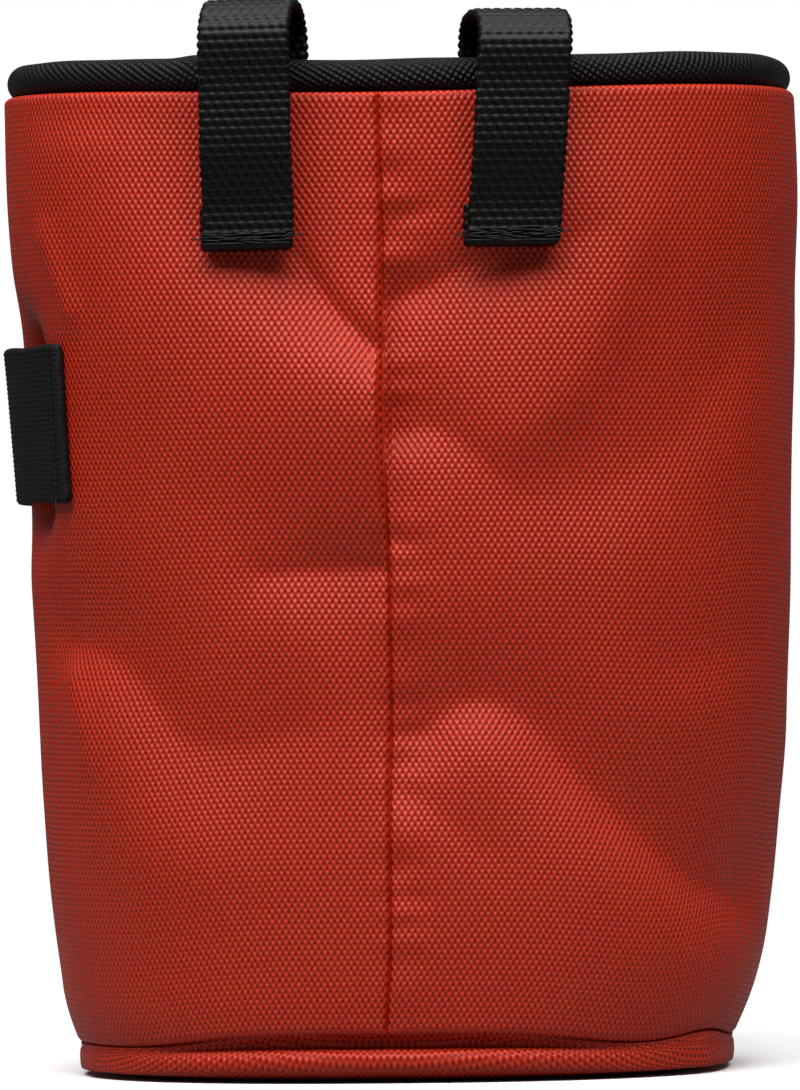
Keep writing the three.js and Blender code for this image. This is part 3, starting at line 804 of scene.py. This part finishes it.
@dataclass
class WallPanel:
    """The nylon tube: one sheet, sewn down the back with its edges turned in, its top edge turned over."""

    form: BagForm
    columns: int = 400
    outer_rows: int = 150
    hem_steps: int = 10
    inner_rows: int = 36
    edge_steps: int = 4
    edge_radius: float = 0.75
    seam_lip: float = 1.2
    seam_depth: float = 1.55
    pucker_height: float = 0.16
    pucker_pitch: float = 7.0
    pucker_reach: float = 4.5
    pucker_drift: float = 0.21
    pucker_stray: float = 2.0
    hem_ease: tuple[float, float] = (1.5, 0.5)
    crowding: float = 0.4

    @cached_property
    def stations(self) -> dict[str, Array]:
        """One row of the grid each: share of the way up, lift and inset in mm, and length on the cloth."""
        form = self.form
        hem = form.hem_thickness / 2
        hem_low = form.wall_height - form.hem_height
        rows: list[tuple[float, float, float]] = []
        for step in range(self.outer_rows + 1):
            rows.append((step / self.outer_rows, 0.0, 0.0))
        for step in range(1, self.hem_steps):
            angle = math.pi * step / self.hem_steps
            rows.append((1.0, hem * math.sin(angle), hem * (1 - math.cos(angle))))
        for step in range(self.inner_rows, -1, -1):
            share = step / self.inner_rows
            up = share * form.wall_height
            deep = smoothstep(up, hem_low - self.hem_ease[0], hem_low + self.hem_ease[1])
            rows.append((share, 0.0, float(lerp(form.wall_thickness, form.hem_thickness, deep))))
        for step in range(1, self.edge_steps + 1):
            angle = math.pi * step / self.edge_steps
            rows.append((0.0, -self.edge_radius * math.sin(angle), self.edge_radius * (1 + math.cos(angle))))
        share, lift, inset = np.array(rows).T
        length = lengths_along(share * form.wall_height + lift, inset)
        return {"share": share, "lift": lift, "inset": inset, "length": length}

    def around(self, column: Array) -> Array:
        """The place round the wall of a column, from 0 to 2, with the columns crowded at the back seam."""
        share = 2 * column / self.columns - 1
        return 1 + (1 + self.crowding) * share - self.crowding * share**3

    def heights(self, column: Array, row: Array) -> Array:
        """Heights of the grid's points."""
        around, at = self.around(column), row.astype(int)
        low = self.form.wall_bottom(around) + self.edge_radius
        high = self.form.wall_top(around) - self.form.hem_thickness / 2
        return lerp(low, high, self.stations["share"][at]) + self.stations["lift"][at]

    def place(self, column: Array, row: Array) -> Array:
        """The grid's points on the wall."""
        around, height = self.around(column), self.heights(column, row)
        inset = self.stations["inset"][row.astype(int)]
        beside = wrap_around(around) * self.form.half_round
        lip = np.clip(self.seam_lip - np.abs(beside), 0.0, self.seam_lip)
        groove = self.seam_depth * (1 - np.sqrt(1 - (lip / self.seam_lip) ** 2))
        stray = np.sin(height * self.pucker_drift) * self.pucker_stray
        pull = self.pucker_height * np.sin(2 * math.pi * height / self.pucker_pitch + stray)
        pull = pull * bell(beside - self.pucker_reach / 2, self.pucker_reach)
        outer = inset < self.form.wall_thickness / 2
        return self.form.inside_wall(around, height, np.maximum(inset, groove) - np.where(outer, pull, 0.0))

    def cloth(self, column: Array, row: Array) -> Array:
        """Places on the flat sheet."""
        across = (self.around(column) - 1) * self.form.half_round
        return np.stack([across, self.stations["length"][row.astype(int)]], axis=-1)

    def build(self) -> bpy.types.Object:
        """Builds and dresses the wall."""
        rows = len(self.stations["share"]) - 1
        bm = cloth_grid(self.columns, rows, self.place, self.cloth)
        return finish_piece("wall_cloth", bm, BALLISTIC_NYLON.material(), Slot.NYLON, ["wall_panel"])


@dataclass
class BasePanel:
    """The oval bottom: a shallow dish with a soft bulge under the wall's edge and a lip inside the wall."""

    form: BagForm
    columns: int = 280
    thickness: float = 1.6
    lip_lifts: tuple[float, ...] = (2.0, 4.0, 6.0, 8.0)
    foot_inset: float = 10.0
    flush: float = 0.1
    pole_rows: int = 12
    bulge_rows: int = 30
    curve_steps: int = 40
    inner_bend: float = 1.5
    shown_up_to: float = 0.97
    profile: tuple[tuple[float, float, float], ...] = (
        (0.0, 0.0, 1.0),
        (0.09, 0.0, 0.6),
        (0.2, 0.0, 0.3),
        (0.36, 0.05, 0.1),
        (0.62, 0.33, 0.06),
        (0.76, 0.45, 0.16),
        (0.85, 0.55, 0.38),
    )

    @cached_property
    def stations(self) -> dict[str, Array]:
        """One row each.

        Returns:
            Rise as a share of the seam height, arch as a share of the seam's lift, lift and inset in
            millimetres, scale in plan, and length on the cloth.
        """
        seam = self.form.seam_height
        lip = self.form.wall_thickness + 2 * self.form.clearance
        inner = lip + self.thickness
        foot = self.foot_inset + 2 * self.thickness
        poles = [step / self.pole_rows for step in range(self.pole_rows)]
        table = np.array([*self.profile, (1.0, 1.0, lip / self.foot_inset)])
        bulge = smooth_path(table * (seam, 0.0, self.foot_inset), self.curve_steps)
        lifted = np.interp(bulge[:, 0], table[:, 0] * seam, table[:, 1])
        far = lengths_along(bulge[:, 0], bulge[:, 2])
        even = np.linspace(0.0, far[-1], self.bulge_rows + 1)
        rises, lifts, insets = (np.interp(even, far, value) for value in (bulge[:, 0], lifted, bulge[:, 2]))
        rises = np.maximum(rises, 0.0) / seam
        rows = [
            *((0.0, 0.0, 0.0, self.foot_inset + self.thickness, scale) for scale in poles),
            *((rise, share, 0.0, inset, 1.0) for rise, share, inset in zip(rises, lifts, insets)),
            *((1.0, 1.0, lift, lip, 1.0) for lift in self.lip_lifts),
            *((1.0, 1.0, lift, inner, 1.0) for lift in reversed(self.lip_lifts)),
            (0.0, 0.0, self.thickness + self.inner_bend, inner + self.inner_bend, 1.0),
            *((0.0, 0.0, self.thickness, foot, scale) for scale in (1.0, *reversed(poles))),
        ]
        rise, arch, lift, inset, scale = np.array(rows).T
        length = lengths_along(rise * seam + lift, inset)
        return {"rise": rise, "arch": arch, "lift": lift, "inset": inset, "scale": scale, "length": length}

    def place(self, column: Array, row: Array) -> Array:
        """The grid's points on the dish. Away from the middle of the back its top is flush with the wall."""
        around, at = 2 * column / self.columns, row.astype(int)
        rows = {name: values[at] for name, values in self.stations.items()}
        seam = self.form.wall_bottom(around)
        lifted = rows["arch"] * (seam - self.form.seam_height)
        height = rows["rise"] * self.form.seam_height + lifted + rows["lift"]
        in_arch = plateau(wrap_around(around) * self.form.half_round, self.form.seam_lift_half_width)
        shown = (rows["rise"] < self.shown_up_to) & (rows["arch"] > 0.0)
        inset = rows["inset"] * np.where(shown, lerp(self.flush, 1.0, in_arch), 1.0)
        point = self.form.inside_wall(around, np.maximum(height, seam), inset, height)
        point[:, :2] *= rows["scale"][:, None]
        return point

    def cloth(self, column: Array, row: Array) -> Array:
        """Places on the flat piece: as in plan under the bag, and unrolled outwards up its side."""
        around, at = 2 * column / self.columns, row.astype(int)
        point, out = self.form.oval_place(around, self.form.wall_bottom(around))
        edge = point - out * self.foot_inset
        beyond = self.stations["length"][at] - self.stations["length"][self.pole_rows]
        flat = edge[:, :2] * self.stations["scale"][at][:, None]
        return flat + out[:, :2] * np.maximum(beyond, 0.0)[:, None]

    def build(self) -> bpy.types.Object:
        """Builds and dresses the bottom."""
        bm = cloth_grid(self.columns, len(self.stations["rise"]) - 1, self.place, self.cloth)
        return finish_piece("base_cloth", bm, BALLISTIC_NYLON.material(), Slot.NYLON, ["base_panel"])


@dataclass
class RimHoop:
    """The stiff hoop round the mouth in its cloth binding, whose tail goes down inside the wall's hem."""

    form: BagForm
    columns: int = 400
    arc_steps: int = 44
    tail: float = 9.0
    tail_rows: int = 5
    swell_half_width: float = 3.5
    swell_place: float = -33.0
    swell_lift: float = 0.6
    start_place: float = -22.0
    wave: float = 0.12
    wave_rates: tuple[float, float] = (0.19, 0.071)
    tail_blend: float = 0.3

    def around(self, column: Array) -> Array:
        """The place of a column. The binding's own joint is under the left belt loop."""
        return self.start_place / self.form.half_round + 2 * column / self.columns

    @property
    def last_row(self) -> int:
        """The row at the inner end of the tail. One more row closes the strip."""
        return self.tail_rows * 2 + self.arc_steps

    @cached_property
    def arc(self) -> tuple[float, float]:
        """Angles at which the roll leaves and meets its tail."""
        outer = self.form.hem_thickness + self.form.clearance
        inner = outer + self.form.binding_thickness
        start = -math.acos((self.form.rim_inset - outer) / self.form.rim_radius)
        end = 2 * math.pi - math.acos((self.form.rim_inset - inner) / self.form.rim_radius)
        return start, end

    def place(self, column: Array, row: Array) -> Array:
        """The grid's points: up the tail's outer face, round the roll and down the tail's inner face."""
        form, around = self.form, self.around(column)
        row = np.where(row > self.last_row, 0, row)
        top = form.wall_top(around)
        along = wrap_around(around) * form.half_round
        swell = form.rim_swell * bell(along - self.swell_place, self.swell_half_width)
        quick, slow = self.wave_rates
        radius = form.rim_radius + swell + self.wave * np.sin(along * quick) * np.sin(along * slow + 1.0)
        start, end = self.arc
        angle = lerp(start, end, np.clip((row - self.tail_rows) / self.arc_steps, 0.0, 1.0))
        inset = form.rim_inset + swell / 2 - radius * np.cos(angle)
        height = top + form.rim_lift + self.swell_lift * swell + radius * np.sin(angle)
        before = np.clip(1 - row / self.tail_rows, 0.0, 1.0)
        after = np.clip(1 - (self.last_row - row) / self.tail_rows, 0.0, 1.0)
        outer = form.hem_thickness + form.clearance
        inset = lerp(inset, outer, smoothstep(before, 0.0, self.tail_blend))
        inset = lerp(inset, outer + form.binding_thickness, smoothstep(after, 0.0, self.tail_blend))
        height = lerp(height, top - self.tail, np.maximum(before, after))
        return form.inside_wall(around, top, inset, height)

    def cloth(self, column: Array, row: Array) -> Array:
        """Places on the flat strip of binding."""
        along = self.around(column) * self.form.half_round
        turned = self.form.rim_radius * (self.arc[1] - self.arc[0])
        return np.stack([along, turned * (row - self.tail_rows) / self.arc_steps], axis=-1)

    def build(self) -> bpy.types.Object:
        """Builds and dresses the hoop."""
        bm = cloth_grid(self.columns, self.last_row + 1, self.place, self.cloth)
        return finish_piece("rim_binding", bm, RIM_BINDING.material(), Slot.BINDING, ["rim_hoop"])


def strap_section(width: float, thickness: float, face_steps: int, edge_steps: int) -> dict[str, Array]:
    """The closed outline of a strap with rounded edges.

    Args:
        width: The strap's width.
        thickness: Its thickness.
        face_steps: Faces across each flat side.
        edge_steps: Faces round each edge.

    Returns:
        Across and out places, the outward direction's two parts, and the length round, one value a point.
    """
    radius = thickness / 2
    half = width / 2 - radius

    def edge_row(middle: float, angle: float) -> tuple[float, float, float, float]:
        """A point of a rounded edge."""
        across, out = math.cos(angle), math.sin(angle)
        return middle + radius * across, radius * out, across, out

    rows: list[tuple[float, float, float, float]] = []
    for step in range(face_steps):
        rows.append((lerp(-half, half, step / face_steps), radius, 0.0, 1.0))
    for step in range(edge_steps):
        rows.append(edge_row(half, math.pi / 2 - math.pi * step / edge_steps))
    for step in range(face_steps):
        rows.append((lerp(half, -half, step / face_steps), -radius, 0.0, -1.0))
    for step in range(edge_steps + 1):
        rows.append(edge_row(-half, -math.pi / 2 - math.pi * step / edge_steps))
    made = dict(zip(("across", "out", "turn_across", "turn_out"), np.array(rows).T))
    return {**made, "length": lengths_along(made["across"], made["out"])}


@dataclass
class BeltLoop:
    """A webbing loop: folded under and bar-tacked at its lower end, over the hoop and down into the bag."""

    form: BagForm
    name: str
    node: str
    place_mm: float
    rise: float
    lean: float
    rear_shift: float
    fold_shift: float = -0.75
    width: float = 16.0
    thickness: float = 1.6
    bottom: float = 145.2
    fold_under: float = 7.5
    slack: float = 1.6
    rear_slack: float = 2.2
    arch_drop: float = 4.0
    rear_tail: float = 8.0
    rib_pitch: float = 1.5
    bundle: float = 0.9
    rib_height: float = 0.2
    face_steps: int = 72
    edge_steps: int = 8
    rows_a_rib: int = 6
    leg_steps: int = 40
    bend_steps: int = 13
    squash: float = 0.92
    tuck: float = 1.2
    fold_ease_from: float = 0.6
    fold_ease_past: float = 3.0
    rib_roundness: float = 0.7
    rib_share: float = 0.9
    bundle_share: float = 0.6
    edge_sink: float = 0.3
    tack_levels: tuple[float, ...] = (0.9, 1.35, 1.8, 2.25, 2.7, 3.1)
    tack_radius: float = 0.2
    tack_before: tuple[float, float] = (0.1, 0.6)
    tack_reach: tuple[float, float] = (2.2, 4.2)
    tack_past: tuple[float, float] = (0.1, 0.5)
    tack_wobble: tuple[float, float] = (-0.25, 0.25)
    tack_lift: tuple[float, float] = (-0.05, 0.12)
    tack_overlap: tuple[float, float] = (0.2, 0.9)
    end_roots: tuple[tuple[int, float], ...] = ((-1, 1.9), (1, 2.4))
    end_path: tuple[tuple[float, float], ...] = (
        (-0.6, 0.1), (0.5, 0.05), (1.1, 0.25), (1.6, 0.1), (2.1, 0.35),
    )
    end_radius: float = 0.13
    seed: int = 5

    @cached_property
    def section(self) -> dict[str, Array]:
        """The strap's outline."""
        return strap_section(self.width, self.thickness * self.squash, self.face_steps, self.edge_steps)

    @cached_property
    def home(self) -> tuple[Array, Array, Array]:
        """The point of the wall's top edge behind the loop, and the directions out and along the wall."""
        around = self.place_mm / self.form.half_round
        point, out = self.form.oval_place(np.array(around), self.form.wall_top(np.array(around)))
        return point, out, np.cross([0.0, 0.0, 1.0], out)

    def wall_reaches(self, height: float) -> Array:
        """How far out the wall stands at points across the loop."""
        point, out, _ = self.home
        spread = self.width / 2 + self.thickness + max(abs(self.lean), abs(self.rear_shift))
        beside = (self.place_mm + np.linspace(-1, 1, 9) * spread) / self.form.half_round
        return (self.form.inside_wall(beside, np.full(9, height), 0.0) - point) @ out

    @cached_property
    def path(self) -> dict[str, Array]:
        """The strap's middle line by distance: place out and up, way across it, and sideways shift."""
        form, half = self.form, self.thickness / 2
        top = float(form.wall_top(np.array(self.place_mm / form.half_round)))
        heel, fold_top = self.bottom + self.thickness, self.bottom + self.fold_under
        levels = (lerp(self.bottom, fold_top, share) for share in (0, 0.25, 0.5, 0.75, 1))
        furthest = max(self.wall_reaches(level).max() for level in levels)
        seated = furthest + form.clearance + self.thickness + half
        arch_top = top + form.rim_lift + form.rim_radius + self.rise - half
        shoulder = arch_top - self.arch_drop
        inner = self.wall_reaches(top).min()
        hoop_depth = form.rim_inset + form.rim_radius + form.rim_swell
        rear = inner - hoop_depth - form.clearance - self.rear_slack - half
        hem_depth = form.hem_thickness + form.binding_thickness + form.rim_swell / 2 + form.clearance * 2
        tail = inner - hem_depth - half
        front = seated + self.slack
        corners = (
            (seated, heel),
            (seated, fold_top),
            (front, (fold_top + top) / 2),
            (front, top),
            (front, shoulder),
            (front - self.arch_drop, arch_top),
            (rear + self.arch_drop, arch_top),
            (rear, shoulder),
            (rear, top + form.rim_lift),
            (tail, top - form.rim_radius),
            (tail, top - self.rear_tail),
        )
        leg = smooth_path(np.array(corners), self.leg_steps)
        turn = math.pi + math.pi * np.arange(self.bend_steps) / self.bend_steps
        tucked = seated - self.thickness
        under = np.array([(tucked, fold_top), (tucked, self.bottom + self.thickness * self.tuck)])
        bend = np.stack([seated - half + half * np.cos(turn), heel + half * np.sin(turn)], axis=-1)
        line = np.vstack([under, bend, leg])
        far = lengths_along(*line.T)
        rows = int(round(far[-1] / self.rib_pitch)) * self.rows_a_rib
        even = np.linspace(0.0, far[-1], rows + 1)
        line = np.stack([np.interp(even, far, line[:, 0]), np.interp(even, far, line[:, 1])], axis=-1)
        tangent = np.gradient(line, axis=0)
        tangent /= np.linalg.norm(tangent, axis=1, keepdims=True)
        drop = (arch_top - line[:, 1]) / (arch_top - self.bottom)
        rear_share = smoothstep(-line[:, 0], -front, -rear)
        shift = lerp(self.lean * drop, self.rear_shift, rear_share)
        ease_from, ease_to = self.fold_under * self.fold_ease_from, self.fold_under + self.fold_ease_past
        under_share = 1 - smoothstep(even, ease_from, ease_to)
        return {
            "out": line[:, 0],
            "up": line[:, 1],
            "side_out": tangent[:, 1],
            "side_up": -tangent[:, 0],
            "shift": shift + self.fold_shift * under_share,
            "far": even,
            "front_from": np.array(far[1] + math.pi * half),
        }

    def strap_point(self, at: Array, across: Array, out: Array) -> Array:
        """Points at a place across the strap and a distance out of its middle, at rows of the path."""
        point, outward, along = self.home
        path = self.path
        off = path["out"][at] + path["side_out"][at] * out
        up = path["up"][at] + path["side_up"][at] * out
        flat = np.array([point[0], point[1], 0.0])
        return (
            flat
            + outward * off[..., None]
            + along * (across + path["shift"][at])[..., None]
            + np.array([0.0, 0.0, 1.0]) * up[..., None]
        )

    def place(self, column: Array, row: Array) -> Array:
        """The grid's points, with the ribs and yarn bundles of the weave standing up."""
        at, spot = row.astype(int), column.astype(int)
        section = self.section
        across, out = section["across"][spot], section["out"][spot]
        rib = np.sin(math.pi * row / self.rows_a_rib)
        bundle = np.sin(math.pi * (across + self.width / 2) / self.bundle)
        on_face = np.abs(section["turn_out"][spot])
        rounded = np.abs(rib) ** self.rib_roundness * self.rib_share
        lump = self.rib_height * (rounded + on_face * rib * bundle * self.bundle_share)
        lump = lump + (1 - on_face) * self.rib_height * (np.abs(rib) - self.edge_sink)
        across = across + section["turn_across"][spot] * lump
        out = out + section["turn_out"][spot] * lump
        return self.strap_point(at, across, out)

    def cloth(self, column: Array, row: Array) -> Array:
        """Places on the flat strap."""
        across = self.section["length"][column.astype(int)]
        return np.stack([across, row * self.rib_pitch / self.rows_a_rib], axis=-1)

    def row_at(self, height: float) -> int:
        """The path's row on the front leg at a height."""
        path = self.path
        front = (path["far"] > path["front_from"]) & (path["far"] < path["far"][-1] / 2)
        return int(np.argmin(np.where(front, np.abs(path["up"] - height), np.inf)))

    def bar_tack(self) -> bmesh.types.BMesh:
        """Rows of long overlapping stitches across the strap's lower end, and the thread's cut ends."""
        draw = random.Random(self.seed)
        bm = bmesh.new()
        half = self.width / 2
        for level in self.tack_levels:
            across = -half - draw.uniform(*self.tack_before)
            while across < half:
                reach = draw.uniform(*self.tack_reach)
                end = min(across + reach, half + draw.uniform(*self.tack_past))
                rows = [self.row_at(self.bottom + level + draw.uniform(*self.tack_wobble)) for _ in range(2)]
                out = self.thickness / 2 + self.rib_height + draw.uniform(*self.tack_lift)
                start_point, end_point = (
                    Vector(self.strap_point(np.array(row), np.array(place), np.array(out)) * METRES)
                    for row, place in zip(rows, (across, end))
                )
                stitch(bm, start_point, end_point, self.tack_radius * METRES)
                across = end - draw.uniform(*self.tack_overlap)
                if end >= half:
                    break
        for side, level in self.end_roots:
            row = np.array(self.row_at(self.bottom + level))
            root = Vector(self.strap_point(row, np.array(side * half), np.array(0.3)) * METRES)
            ends = [root + Vector((side * far * METRES, 0.0, rise * METRES)) for far, rise in self.end_path]
            thread_along(bm, ends, self.end_radius * METRES)
        return bm

    def build(self) -> list[bpy.types.Object]:
        """Builds and dresses the loop and its stitching."""
        rows, columns = len(self.path["far"]) - 1, len(self.section["across"]) - 1
        bm = cloth_grid(columns, rows, self.place, self.cloth)
        strap = finish_piece(self.name, bm, LOOP_WEBBING.material(), Slot.WEBBING, [self.node])
        tack = finish_piece(f"{self.name}_bar_tack", self.bar_tack(), SewingThread().material(), Slot.WEBBING)
        return [strap, tack]


class TabStitch(NamedTuple):
    """A stitch of the band's tab: its ends' places along the band and up, its lift and its radius."""

    start: tuple[float, float]
    end: tuple[float, float]
    lift: float
    radius: float


@dataclass
class BrushBand:
    """The elastic round the left side: sewn flat to the wall at its ends and bowed out between them."""

    form: BagForm
    height: float = 27.8
    middle: float = 116.2
    thickness: float = 1.5
    start: float = -62.0
    length: float = 58.6
    tab: float = 6.0
    bow: float = 0.6
    lean: float = 0.8
    rib_pitch: float = 0.87
    rib_height: float = 0.06
    ribs: int = 32
    columns_a_rib: int = 4
    edge_steps: int = 8
    rows: int = 90
    edge_wave: float = 0.25
    edge_wave_rate: float = 21.0
    edge_wave_reach: float = 0.35
    stitches: int = 24
    stitch_margin: float = 0.8
    tab_stitches: tuple[TabStitch, ...] = (
        TabStitch((4.2, -0.4), (4.2, 0.4), 0.0, 0.16),
        TabStitch((2.2, -0.25), (3.1, 0.35), 0.1, 0.16),
        TabStitch((2.2, -0.35), (2.1, 0.45), 0.1, 0.14),
    )
    end_path: tuple[tuple[float, float, float], ...] = (
        (3.0, 1.0, 0.1),
        (2.8, -0.2, 0.3),
        (2.4, -0.9, 0.5),
        (3.0, -1.3, 0.6),
    )
    end_radius: float = 0.12

    @cached_property
    def section(self) -> dict[str, Array]:
        """The band's outline, with its width standing upright."""
        return strap_section(self.height, self.thickness, self.ribs * self.columns_a_rib, self.edge_steps)

    def lift(self, part: Array, height: Array) -> Array:
        """How far the band's middle stands off the plain oval."""
        form = self.form
        ends = np.array([self.start, self.start - self.length]) / form.half_round
        tab = self.tab / self.length
        at_tabs = lerp(
            form.relief(lerp(*ends, tab), height),
            form.relief(lerp(*ends, 1 - tab), height),
            smoothstep(part, tab, 1 - tab),
        )
        share = np.clip((part - tab) / (1 - 2 * tab), 0.0, 1.0)
        bow = (self.bow + self.lean * (height - self.middle) / self.height) * np.sin(math.pi * share)
        lifted = np.maximum(at_tabs + bow, form.relief(lerp(*ends, part), height))
        return lifted + form.clearance + self.thickness / 2

    def band_point(self, part: Array, up: Array, out: Array) -> Array:
        """Points of the band.

        Args:
            part: Share of the way along it.
            up: Height over its middle.
            out: Distance out of its middle.

        Returns:
            The points, one row each.
        """
        ends = np.array([self.start, self.start - self.length]) / self.form.half_round
        wave = self.edge_wave * np.sin(part * self.edge_wave_rate) * bell(part, self.edge_wave_reach)
        wave = wave * (up / self.height * 2)
        height = self.middle + up + wave
        point, outward = self.form.oval_place(lerp(*ends, part), height)
        return point + outward * (self.lift(part, height) + out)[..., None]

    def place(self, column: Array, row: Array) -> Array:
        """The grid's points, with fine ribs along the band."""
        spot = column.astype(int)
        section = self.section
        up, out = section["across"][spot], section["out"][spot]
        on_face = np.abs(section["turn_out"][spot])
        lump = self.rib_height * on_face * np.cos(2 * math.pi * up / self.rib_pitch)
        return self.band_point(row / self.rows, up, out + np.sign(out) * lump)

    def cloth(self, column: Array, row: Array) -> Array:
        """Places on the flat band."""
        return np.stack([row / self.rows * self.length, self.section["length"][column.astype(int)]], axis=-1)

    def stitching(self) -> bmesh.types.BMesh:
        """Two upright rows on the tab: small stitches, and slanting loops near the folded edge."""
        bm = bmesh.new()
        out = self.thickness / 2 + self.rib_height

        def spot(along: float, up: float, lift: float) -> Vector:
            """A point over the band's face, in metres."""
            point = self.band_point(np.array(along / self.length), np.array(up), np.array(out + lift))
            return Vector(point * METRES)

        half = self.height / 2
        low, high = -half + self.stitch_margin, half - self.stitch_margin
        for number in range(self.stitches):
            up = lerp(low, high, number / (self.stitches - 1))
            for (from_along, from_up), (to_along, to_up), lift, radius in self.tab_stitches:
                start, end = spot(from_along, up + from_up, lift), spot(to_along, up + to_up, lift)
                stitch(bm, start, end, radius * METRES)
        ends = [spot(along, -half + drop, lift) for along, drop, lift in self.end_path]
        thread_along(bm, ends, self.end_radius * METRES)
        return bm

    def build(self) -> list[bpy.types.Object]:
        """Builds and dresses the band and its stitching."""
        bm = cloth_grid(len(self.section["across"]) - 1, self.rows, self.place, self.cloth)
        band = finish_piece("brush_band_elastic", bm, BAND_ELASTIC.material(), Slot.ELASTIC, ["brush_band"])
        sewn = finish_piece("brush_band_stitches", self.stitching(), SewingThread().material(), Slot.ELASTIC)
        return [band, sewn]


@dataclass(frozen=True)
class StudioCamera:
    """The camera at the picture's angle. Pixels are those of an 800 by 1090 picture."""

    azimuth_deg: float = 4.5
    distance: float = 1.4
    height: float = 0.0816
    focal_px: float = 7773.0
    long_side_px: float = 1090.0
    sensor_mm: float = 36.0
    aim_right_px: float = -7.4
    aim_up_px: float = 70.0
    roll_deg: float = 0.75
    near: float = 0.05
    far: float = 50.0

    def build(self) -> bpy.types.Object:
        """Makes the scene's camera."""
        data = bpy.data.cameras.new("studio_camera")
        data.sensor_width = self.sensor_mm
        data.lens = self.focal_px * self.sensor_mm / self.long_side_px
        data.clip_start, data.clip_end = self.near, self.far
        camera = add_object("studio_camera", data)
        turn, roll = math.radians(self.azimuth_deg), math.radians(self.roll_deg)
        right = Vector((math.cos(turn), math.sin(turn), 0.0))
        ahead = Vector((-math.sin(turn), math.cos(turn), 0.0))
        up = Vector((0.0, 0.0, 1.0))
        aside = right * (self.aim_right_px / self.focal_px) + up * (self.aim_up_px / self.focal_px)
        aim = (ahead + aside).normalized()
        tilted = (up * math.cos(roll) + right * math.sin(roll)).normalized()
        side = aim.cross(tilted).normalized()
        place = -ahead * self.distance + up * self.height
        basis = Matrix((side, side.cross(aim), -aim)).transposed().to_4x4()
        camera.matrix_world = Matrix.Translation(place) @ basis
        bpy.context.scene.camera = camera
        return camera


@dataclass(frozen=True)
class Softbox:
    """One soft light, aimed at a point of the bag."""

    name: str
    place: tuple[float, float, float]
    width: float
    depth: float
    watts: float
    aim: tuple[float, float, float] = (0.0, 0.0, 0.09)

    def build(self) -> bpy.types.Object:
        """Makes the light."""
        data = bpy.data.lights.new(self.name, "AREA")
        data.shape = "RECTANGLE"
        data.size, data.size_y = self.width, self.depth
        data.energy = self.watts
        light = add_object(self.name, data)
        light.location = self.place
        light.rotation_mode = "QUATERNION"
        light.rotation_quaternion = (Vector(self.aim) - Vector(self.place)).to_track_quat("-Z", "Y")
        return light


@dataclass(frozen=True)
class Studio:
    """A white paper floor, a white surround and soft light from above and in front."""

    floor_radius: float = 0.3
    floor_sides: int = 128
    surround_light: float = 0.12
    lights: tuple[Softbox, ...] = (
        Softbox("ceiling_softbox", (0.0, 0.02, 1.1), 0.9, 0.9, 7.5),
        Softbox("long_front_softbox", (-0.05, -0.6, 1.02), 1.9, 0.4, 26.0),
    )

    def build(self) -> None:
        """Makes the floor, the surround, the lights and the camera."""
        scene = bpy.context.scene
        scene.view_settings.view_transform = "Standard"
        bm = bmesh.new()
        bmesh.ops.create_circle(bm, cap_ends=True, segments=self.floor_sides, radius=self.floor_radius)
        mesh = bpy.data.meshes.new("paper_floor")
        bm.to_mesh(mesh)
        bm.free()
        mesh.materials.append(SweepPaper().material())
        floor = add_object("paper_floor", mesh)
        world = bpy.data.worlds.new("white_surround")
        world.use_nodes = True
        tree = world.node_tree
        tree.nodes.clear()
        seen = add_node(tree, "ShaderNodeLightPath")
        links = {"Value": seen.outputs["Is Camera Ray"], "To Min": self.surround_light, "To Max": 1.0}
        strength = add_node(tree, "ShaderNodeMapRange", links)
        links = {"Color": (1.0, 1.0, 1.0, 1.0), "Strength": strength.outputs[0]}
        sky = add_node(tree, "ShaderNodeBackground", links)
        add_node(tree, "ShaderNodeOutputWorld", {"Surface": sky.outputs[0]})
        scene.world = world
        for light in self.lights:
            light.build()
        StudioCamera().build()


@dataclass
class ChalkBag:
    """The whole bag."""

    form: BagForm = field(default_factory=BagForm)

    def build(self) -> None:
        """Builds every sub-assembly in order."""
        WallPanel(self.form).build()
        BasePanel(self.form).build()
        RimHoop(self.form).build()
        BeltLoop(
            self.form, "left_loop_webbing", "belt_loop_left",
            place_mm=-22.0, rise=9.7, lean=0.0, rear_shift=-0.8,
        ).build()
        BeltLoop(
            self.form, "right_loop_webbing", "belt_loop_right",
            place_mm=25.8, rise=7.4, lean=-2.6, rear_shift=-2.0, seed=11,
        ).build()
        BrushBand(self.form).build()


def main() -> None:
    """Builds the bag and its studio."""
    logging.basicConfig(level=logging.INFO, format="%(name)s %(message)s")
    ChalkBag().build()
    Studio().build()


if __name__ == "__main__":
    main()
